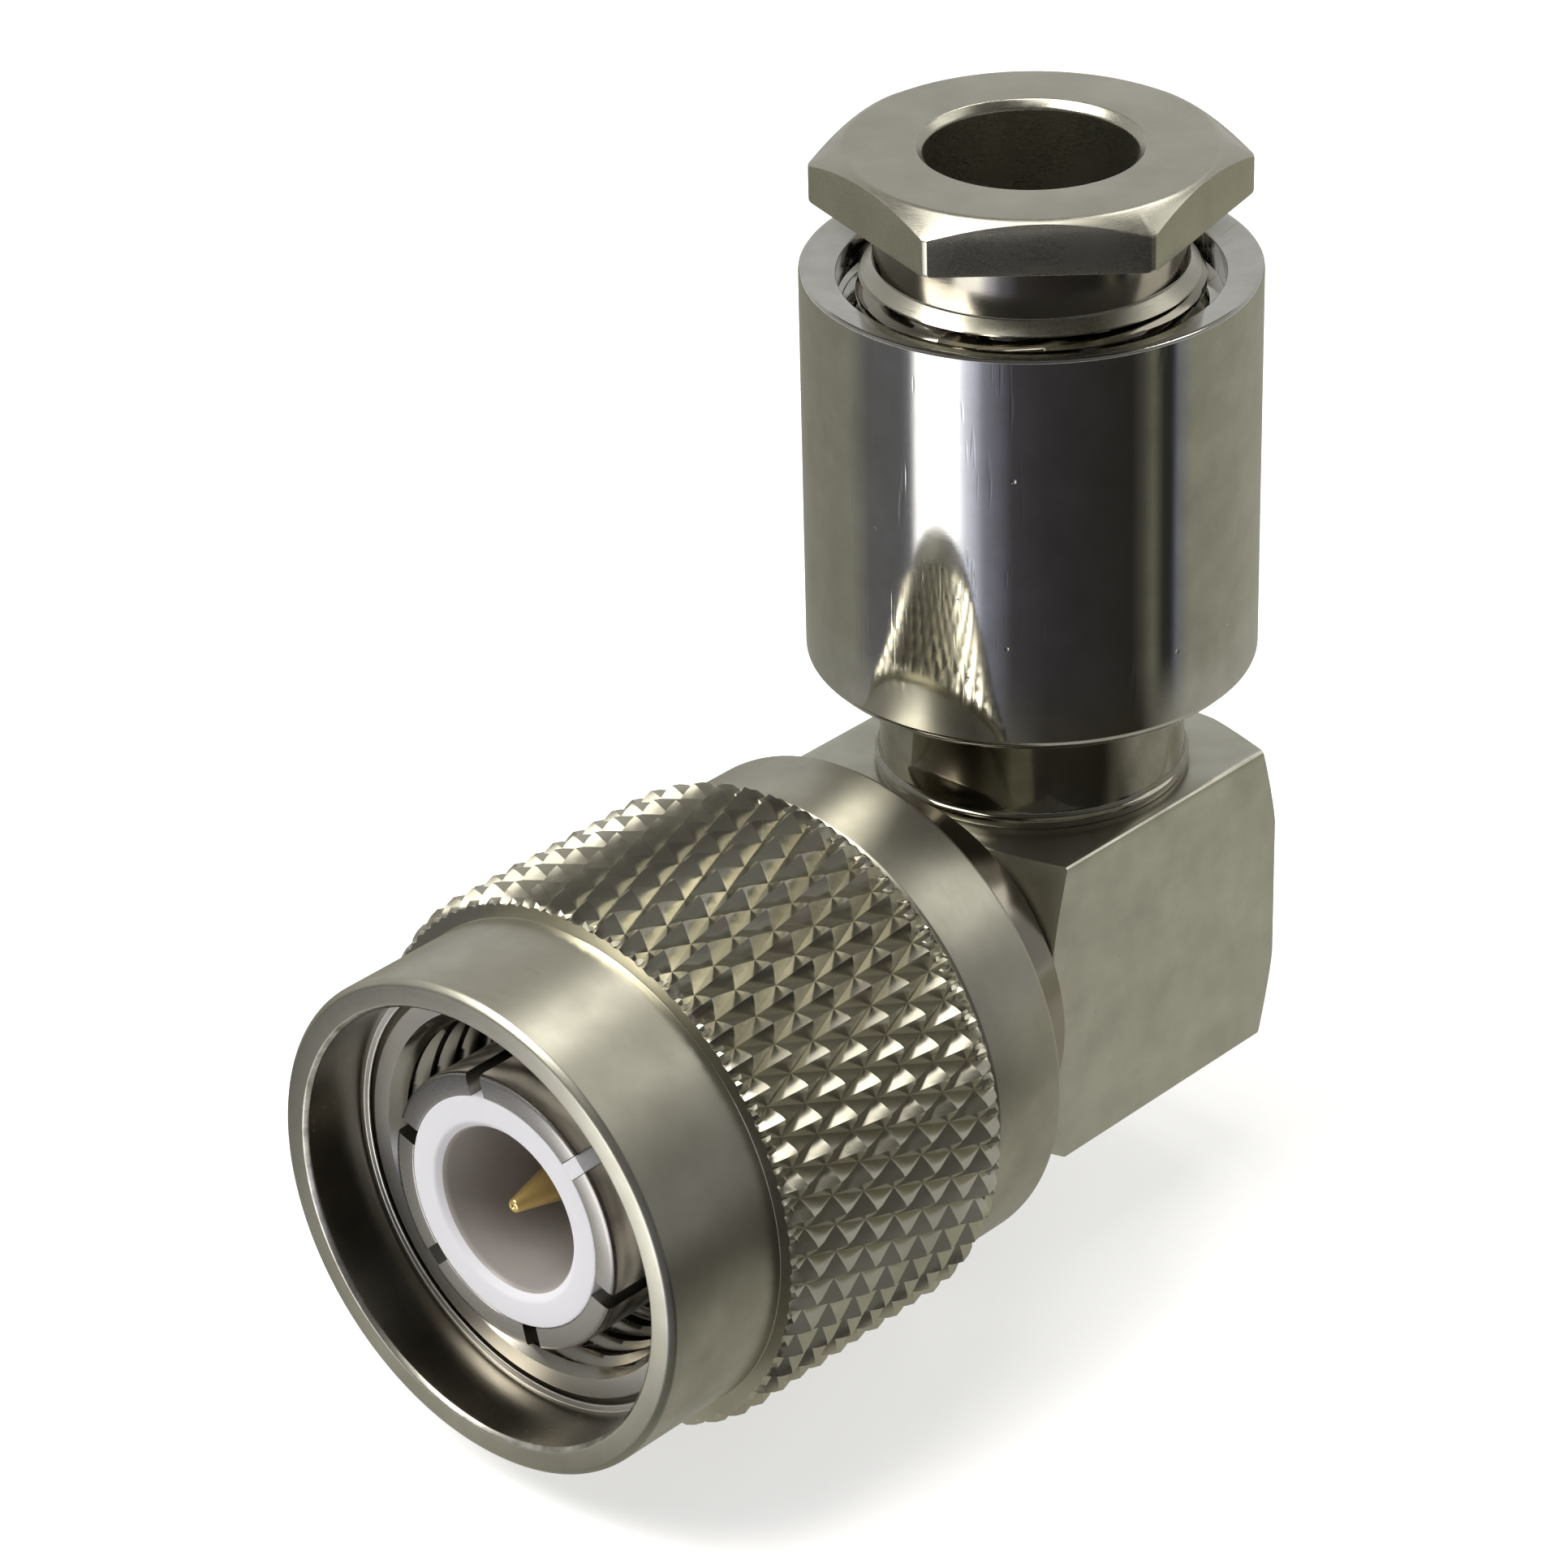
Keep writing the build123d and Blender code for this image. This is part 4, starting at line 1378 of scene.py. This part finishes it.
@dataclass
class ClampNut:
    """The hollow hexagon nut on top of the barrel."""

    bottom: float = 16.73
    thread_length: float = 3.75
    thread_radius: float = 4.93
    thread_depth: float = 0.34
    thread_pitch: float = 0.75
    lead_in: float = 0.30  # how much the stem is turned down before its first turn
    foot_drop: float = 0.36  # and at its very end
    run_out: float = 0.15  # and after its last turn
    neck_radius: float = 4.45
    shoulder_height: float = 0.34
    hole_radius: float = 3.00
    hole_bevel: float = 0.22
    hex_bottom: float = 22.57
    hex_thickness: float = 1.58
    across_flats: float = 10.80
    corner_radius: float = 6.19
    top_flat_radius: float = 5.25
    cone_deg: float = 28.0
    turn_deg: float = 12.5
    edge: float = 0.06
    edge_deg: float = 15.0  # edges that turn by more than this are broken
    bar_spare: float = 4.0  # how far the hexagon bar goes past the nut's top
    flat_gap: float = 0.02  # how far off its plane a flat's face may be

    @property
    def top(self) -> float:
        """Height of the top face."""
        return self.hex_bottom + self.hex_thickness

    @property
    def shoulder(self) -> float:
        """Height where the thread ends."""
        return self.bottom + self.thread_length

    def prism(self) -> bpy.types.Mesh:
        """A tall hexagon bar on the cable axis.

        Returns:
            The mesh.
        """
        made = bmesh.new()
        corner = self.across_flats / 2 / math.cos(math.pi / 6) * MM
        height = (self.top + self.bar_spare) * MM
        bmesh.ops.create_cone(
            made, cap_ends=True, segments=6, radius1=corner, radius2=corner, depth=height,
            matrix=Matrix.Translation((-REACH * MM, 0, height / 2))
            @ Matrix.Rotation(math.radians(self.turn_deg + 30.0), 4, "Z"),
        )
        return plain_mesh(made, "hexagon_bar")

    def build(self) -> None:
        """Turn the nut, cut its thread, and mill its flats."""
        top, shoulder = self.top, self.shoulder
        drop = (self.corner_radius - self.top_flat_radius) * math.tan(math.radians(self.cone_deg))
        thread = ScrewThread(self.bottom, shoulder, self.thread_radius, self.thread_depth,
                             self.thread_pitch, inside=False)
        first, last = self.thread_radius - self.lead_in, self.thread_radius - self.run_out
        turns = [Corner(height, min(self.thread_radius, first + height - self.bottom,
                                    last + shoulder - height), zone=Zone.THREAD)
                 for height in thread.rows()]
        blank = TurnedOutline(TurningAxis.CABLE, [
            Corner(self.bottom, self.hole_radius),
            Corner(self.bottom, self.thread_radius - self.foot_drop), *turns,
            Corner(shoulder, last, 0.04), Corner(shoulder + self.shoulder_height, self.neck_radius, 0.05),
            Corner(self.hex_bottom, self.neck_radius, 0.06),
            Corner(self.hex_bottom, self.corner_radius, 0.10),
            Corner(top - drop, self.corner_radius, 0.05), Corner(top, self.top_flat_radius, 0.10),
            Corner(top, self.hole_radius + self.hole_bevel, 0.05),
            Corner(top - self.hole_bevel, self.hole_radius, 0.06),
        ], segments=288)
        tree = relief_tree(TurningAxis.CABLE, None, thread, HEX_SATIN.material())
        turned = baked(blank.mesh("clamp_nut_blank"), nodes_modifier(tree, {"Relief": 1.0}))
        prism = self.prism()
        milled = baked(turned, lambda holder: cut(holder, prism, Cut.COMMON))
        self.break_edges(milled)

        def finish_at(place: Vector) -> Finish:
            """Tell the satin hexagon, shoulder and hole from the polished neck, which is darkened with
            painted shade.

            Args:
                place: The middle of a face, in millimetres.

            Returns:
                Its finish.
            """
            radius = math.hypot(place.x + REACH, place.y)
            satin = (place.z > self.hex_bottom + FACE_GAP or radius < self.hole_radius + FACE_GAP
                     or place.z > shoulder and radius > self.neck_radius + 2 * FACE_GAP)
            return HEX_SATIN if satin else CLAMP_NECK_PAINTED_SHADE

        Piece("hexagon_clamp_nut", "clamp_nut", "clamp_nut", HEX_SATIN).put(milled, finish_at)

    def break_edges(self, mesh: bpy.types.Mesh) -> None:
        """Bevel the edges that the flats left on the hexagon.

        Args:
            mesh: The milled nut.
        """
        made = bmesh.new()
        made.from_mesh(mesh)
        flat = self.across_flats / 2

        def on_flat(face: bmesh.types.BMFace) -> bool:
            """Whether a face lies in one of the six flats.

            Args:
                face: The face.

            Returns:
                True for a flat.
            """
            middle = face.calc_center_median() / MM + Vector((REACH, 0.0, 0.0))
            reach = face.normal.x * middle.x + face.normal.y * middle.y
            return (abs(face.normal.z) < LEVEL and middle.z > self.hex_bottom
                    and abs(reach - flat) < self.flat_gap)

        milled = {face for face in made.faces if on_flat(face)}
        edges = [edge for edge in made.edges
                 if any(face in milled for face in edge.link_faces)
                 and edge.calc_face_angle(0.0) > math.radians(self.edge_deg)]
        bmesh.ops.bevel(made, geom=edges, offset=self.edge * MM, segments=2, profile=0.5,
                        affect="EDGES", clamp_overlap=True)
        made.to_mesh(mesh)
        made.free()
        LOG.info("hexagon: %d edges broken", len(edges))


@dataclass
class CableSeal:
    """The rubber ring round the cable, which the clamp nut squeezes."""

    foot: float = 12.83
    top: float = 15.93
    radius: float = 4.88
    hole_radius: float = 2.65
    ridge_radius: float = 3.34
    ridge_height: float = 0.45
    rows: int = 12

    def build(self) -> None:
        """Turn the ring; its top is not made to follow the washer."""
        heights = [self.foot + (self.top - self.foot) * row / self.rows for row in range(self.rows + 1)]
        mesh = TurnedOutline(TurningAxis.CABLE, [
            Corner(self.foot, self.ridge_radius - self.ridge_height),
            Corner(self.foot + self.ridge_height, self.ridge_radius),
            Corner(self.foot, self.ridge_radius + self.ridge_height),
            *[Corner(height, self.radius) for height in heights],
            *[Corner(height, self.hole_radius) for height in reversed(heights)],
        ], segments=96).mesh("cable_seal")
        Piece("rubber_cable_seal", "cable_gasket", "plug_body", RUBBER_GREY,
              stretch=Stretch("clamp_washer", self.foot, self.top)).put(mesh)


def dress_inner_pieces(nodes: Mapping[str, bpy.types.Object]) -> None:
    """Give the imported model's own inner pieces their finishes.

    Args:
        nodes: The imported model's objects by name.
    """
    finishes = {
        "contact_bush": INSULATOR_WHITE, "stem_sleeve": INSULATOR_WHITE,
        "cable_insulator": INSULATOR_WHITE, "cap_insulator": INSULATOR_WHITE,
        "access_cap": BLOCK_SATIN, "nut_retaining_ring": RING_BRONZE,
        "interface_gasket": RUBBER_GREY, "braid_clamp": CONTACT_BRIGHT,
        "thrust_washer": CONTACT_BRIGHT,
    }
    for name, finish in finishes.items():
        mesh = nodes[name].data
        mesh.materials.clear()
        mesh.materials.append(finish.material())
        LOG.info("%s: dressed in %s", name, finish.name)


@dataclass(frozen=True)
class Softbox:
    """A rectangular studio lamp that looks at the plug."""

    name: str
    azimuth: float
    elevation: float
    distance: float
    width: float
    height: float
    watts: float
    colour: Colour = (1.0, 0.98, 0.93)

    def build(self, target: Vector) -> None:
        """Hang the lamp.

        Args:
            target: What it looks at.
        """
        lamp = bpy.data.lights.new(self.name, "AREA")
        lamp.shape = "RECTANGLE"
        lamp.size, lamp.size_y = self.width, self.height
        lamp.energy = self.watts
        lamp.color = self.colour
        holder = in_scene(self.name, lamp)
        direction = outward(self.azimuth, self.elevation)
        holder.location = target + direction * self.distance
        holder.rotation_euler = direction.to_track_quat("Z", "Y").to_euler()


def outward(azimuth: float, elevation: float) -> Vector:
    """The direction from the plug to a viewer.

    Args:
        azimuth: Degrees, where 0 looks along +Y.
        elevation: Degrees above the horizon.

    Returns:
        The unit vector.
    """
    turn, lift = math.radians(azimuth), math.radians(elevation)
    return Vector((math.sin(turn) * math.cos(lift), -math.cos(turn) * math.cos(lift), math.sin(lift)))


@dataclass(frozen=True)
class FloorRing:
    """A glowing ring on the floor that the camera doesn't see: it only shows in bright metal.

    A stop is an angle, counted to the right from the direction of the camera, and its glow.
    """

    near: float = 1.0
    far: float = 400.0
    segments: int = 96
    strength: float = 4.0
    foot_end: float = 21.0  # where the foot's stops give way to the near ones
    near_end: float = 32.0  # where those give way to the far ones
    fade: float = 6.0
    foot_stops: Stops = (
        (-180.0, (0.075, 0.074, 0.060)), (-60.0, (0.105, 0.103, 0.090)),
        (60.0, (0.105, 0.103, 0.090)), (78.0, (0.115, 0.113, 0.098)),
        (130.0, (0.115, 0.113, 0.098)), (180.0, (0.075, 0.074, 0.060)),
    )
    near_stops: Stops = (
        (-180.0, (0.075, 0.074, 0.060)), (-75.0, (0.090, 0.089, 0.080)),
        (-50.0, (0.125, 0.123, 0.115)), (-32.0, (0.050, 0.050, 0.045)),
        (-12.0, (0.028, 0.027, 0.023)), (4.0, (0.012, 0.011, 0.009)),
        (50.0, (0.008, 0.007, 0.005)),
        (78.0, (0.115, 0.113, 0.098)), (130.0, (0.115, 0.113, 0.098)),
        (180.0, (0.075, 0.074, 0.060)),
    )
    far_stops: Stops = (
        (-180.0, (0.072, 0.071, 0.058)), (-99.0, (0.072, 0.071, 0.058)),
        (-86.0, (0.038, 0.038, 0.038)), (-66.0, (0.038, 0.038, 0.041)),
        (-61.0, (0.060, 0.061, 0.066)), (-56.0, (0.75, 0.75, 0.75)),
        (-41.0, (0.75, 0.75, 0.75)), (-34.0, (0.29, 0.30, 0.35)),
        (-25.0, (0.072, 0.074, 0.092)), (-12.0, (0.018, 0.017, 0.019)),
        (4.0, (0.012, 0.011, 0.012)), (45.0, (0.007, 0.007, 0.006)),
        (51.0, (0.020, 0.019, 0.016)), (56.0, (0.045, 0.044, 0.032)),
        (62.0, (0.008, 0.008, 0.007)), (67.0, (0.008, 0.008, 0.009)),
        (70.0, (0.050, 0.053, 0.060)), (79.0, (0.083, 0.082, 0.064)),
        (130.0, (0.100, 0.099, 0.079)), (180.0, (0.072, 0.071, 0.058)),
    )

    def build(self, azimuth: float, height: float) -> None:
        """Lay the ring.

        Args:
            azimuth: The camera's azimuth.
            height: Height of the ring in millimetres.
        """
        made = bmesh.new()
        rows = []
        for step in range(self.segments):
            away = outward(360.0 * step / self.segments, 0.0)
            rows.append([
                made.verts.new((away * reach + Vector((-REACH, 0.0, height))) * MM)
                for reach in (self.near, self.far)
            ])
        for index, one in enumerate(rows):
            other = rows[(index + 1) % len(rows)]
            made.faces.new((one[0], one[1], other[1], other[0]))
        obj = in_scene("floor_ring", plain_mesh(made, "floor_ring"))
        obj.data.materials.append(self.material(azimuth))
        obj.visible_camera = False
        obj.visible_shadow = False
        obj.visible_diffuse = False

    def material(self, azimuth: float) -> bpy.types.Material:
        """A glow that changes round the ring.

        Args:
            azimuth: The camera's azimuth.

        Returns:
            The material.
        """
        made = bpy.data.materials.new("floor_ring")
        bench = bare_bench(made)
        place = bench.node("ShaderNodeTexCoord").outputs["Object"]
        x, y = (part / MM for part in bench.parts(place)[:2])
        x = x + REACH
        ahead, right = outward(azimuth, 0.0), outward(azimuth + 90.0, 0.0)
        turn = (x * right.x + y * right.y).maths("ARCTAN2", x * ahead.x + y * ahead.y)
        share = turn / math.tau + 0.5
        foot, near, far = (
            bench.ramp(share, [(0.5 + degrees / 360.0, colour) for degrees, colour in stops])
            for stops in (self.foot_stops, self.near_stops, self.far_stops)
        )
        reach = (x * x + y * y).maths("SQRT")
        inner = bench.mixed(((reach - self.foot_end) / self.fade).clamped(), foot, near)
        glow = bench.mixed(((reach - self.near_end) / self.fade).clamped(), inner, far)
        shader = bench.node("ShaderNodeEmission", None, {"Color": glow, "Strength": self.strength})
        bench.node("ShaderNodeOutputMaterial", None, {"Surface": shader.outputs[0]})
        return made


@dataclass
class Studio:
    """Floor, lamps, surroundings and the camera of the photograph."""

    azimuth: float = 133.06
    elevation: float = 29.264
    roll_deg: float = -1.451
    focal_pixels: float = 7155.46
    target: tuple[float, float, float] = (5.0 - REACH, 0.0, 8.0)
    slide: tuple[float, float] = (-3.822, -1.774)
    distance: float = 165.378
    clip_start: float = 0.01
    sensor: float = 36.0
    floor_height: float = -8.6
    floor_side: float = 3.0
    floor_colour: Colour = (0.80, 0.80, 0.80)
    floor_roughness: float = 0.8
    floor_sheen: float = 0.2
    floor_glow: float = 0.60
    sky_stops: Stops = (  # from the horizon up to the zenith
        (0.0, (0.33, 0.33, 0.33)), (0.50, (0.33, 0.33, 0.317)), (0.72, (0.13, 0.125, 0.115)),
        (1.0, (0.08, 0.075, 0.07)),
    )
    sky_fall: float = 0.8  # how much darker it gets towards the viewer
    ring_lift: float = 0.2
    ring: FloorRing = field(default_factory=FloorRing)
    lamps: list[Softbox] = field(default_factory=lambda: [
        Softbox("key_softbox", 60.0, 55.0, 0.55, 0.30, 0.30, 2.4),
        Softbox("fill_softbox", 242.0, 42.0, 0.60, 0.30, 0.30, 0.33),
        Softbox("rear_softbox", 281.0, 54.0, 0.60, 0.16, 0.16, 0.34),
        Softbox("top_softbox", 20.0, 80.0, 0.60, 0.40, 0.40, 1.4),
    ])

    def camera(self) -> None:
        """Stand the camera where the photograph was taken."""
        back = outward(self.azimuth, self.elevation)
        level = outward(self.azimuth + 90.0, 0.0)
        rise = back.cross(level)
        roll = math.radians(self.roll_deg)
        right = level * math.cos(roll) + rise * math.sin(roll)
        up = rise * math.cos(roll) - level * math.sin(roll)
        place = Vector(self.target) + right * self.slide[0] + up * self.slide[1] + back * self.distance
        lens = bpy.data.cameras.new("photo_camera")
        lens.sensor_width = self.sensor
        lens.sensor_height = self.sensor
        lens.lens = self.focal_pixels * self.sensor / PHOTO_PIXELS
        lens.clip_start = self.clip_start
        holder = in_scene("photo_camera", lens)
        turned = Matrix((right, up, back)).transposed().to_4x4()
        holder.matrix_world = Matrix.Translation(place * MM) @ turned
        bpy.context.scene.camera = holder

    def floor(self) -> None:
        """Lay the pale floor."""
        made = bmesh.new()
        bmesh.ops.create_grid(made, x_segments=1, y_segments=1, size=self.floor_side / 2,
                              matrix=Matrix.Translation((0, 0, self.floor_height * MM)))
        obj = in_scene("floor", plain_mesh(made, "floor"))
        material = bpy.data.materials.new("pale_floor")
        bench = bare_bench(material)
        shader = bench.node("ShaderNodeBsdfPrincipled", None, {
            "Base Color": (*self.floor_colour, 1.0), "Roughness": self.floor_roughness,
            "Specular IOR Level": self.floor_sheen,
        })
        rays = bench.node("ShaderNodeLightPath")
        camera, glossy, through = (bench.signal(rays.outputs[f"Is {kind} Ray"])
                                   for kind in ("Camera", "Glossy", "Transmission"))
        seen = (camera + glossy + through).clamped()
        glow = bench.node("ShaderNodeEmission", None, {"Strength": seen * self.floor_glow})
        whole = bench.node("ShaderNodeAddShader", None, {0: shader.outputs[0], 1: glow.outputs[0]})
        bench.node("ShaderNodeOutputMaterial", None, {"Surface": whole.outputs[0]})
        obj.data.materials.append(material)

    def surroundings(self) -> None:
        """Light from all round: brighter behind the plug and towards the horizon."""
        world = bpy.data.worlds.new("studio")
        bpy.context.scene.world = world
        bench = bare_bench(world)
        x, y, z = bench.parts(bench.node("ShaderNodeTexCoord").outputs["Generated"])
        viewer = outward(self.azimuth, 0.0)
        facing = x * viewer.x + y * viewer.y
        glow = bench.node("ShaderNodeBackground", None, {
            "Color": bench.ramp(z.clamped(), self.sky_stops), "Strength": 1.0 - facing * self.sky_fall,
        })
        bench.node("ShaderNodeOutputWorld", None, {"Surface": glow.outputs[0]})

    def build(self) -> None:
        """Set up the whole studio."""
        bpy.context.scene.view_settings.view_transform = "Standard"
        self.camera()
        self.floor()
        self.surroundings()
        for lamp in self.lamps:
            lamp.build(Vector(self.target) * MM)
        self.ring.build(self.azimuth, self.floor_height + self.ring_lift)


def main() -> None:
    """Load the frame, build every piece, and set the studio."""
    logging.basicConfig(level=logging.INFO, format="%(name)s: %(message)s")
    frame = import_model()
    CouplingNut().build()
    FrontContacts().build()
    PlugBody().build()
    ClampNut().build()
    CableSeal().build()
    dress_inner_pieces(frame["nodes"])
    Studio().build()


if __name__ == "__main__":
    main()
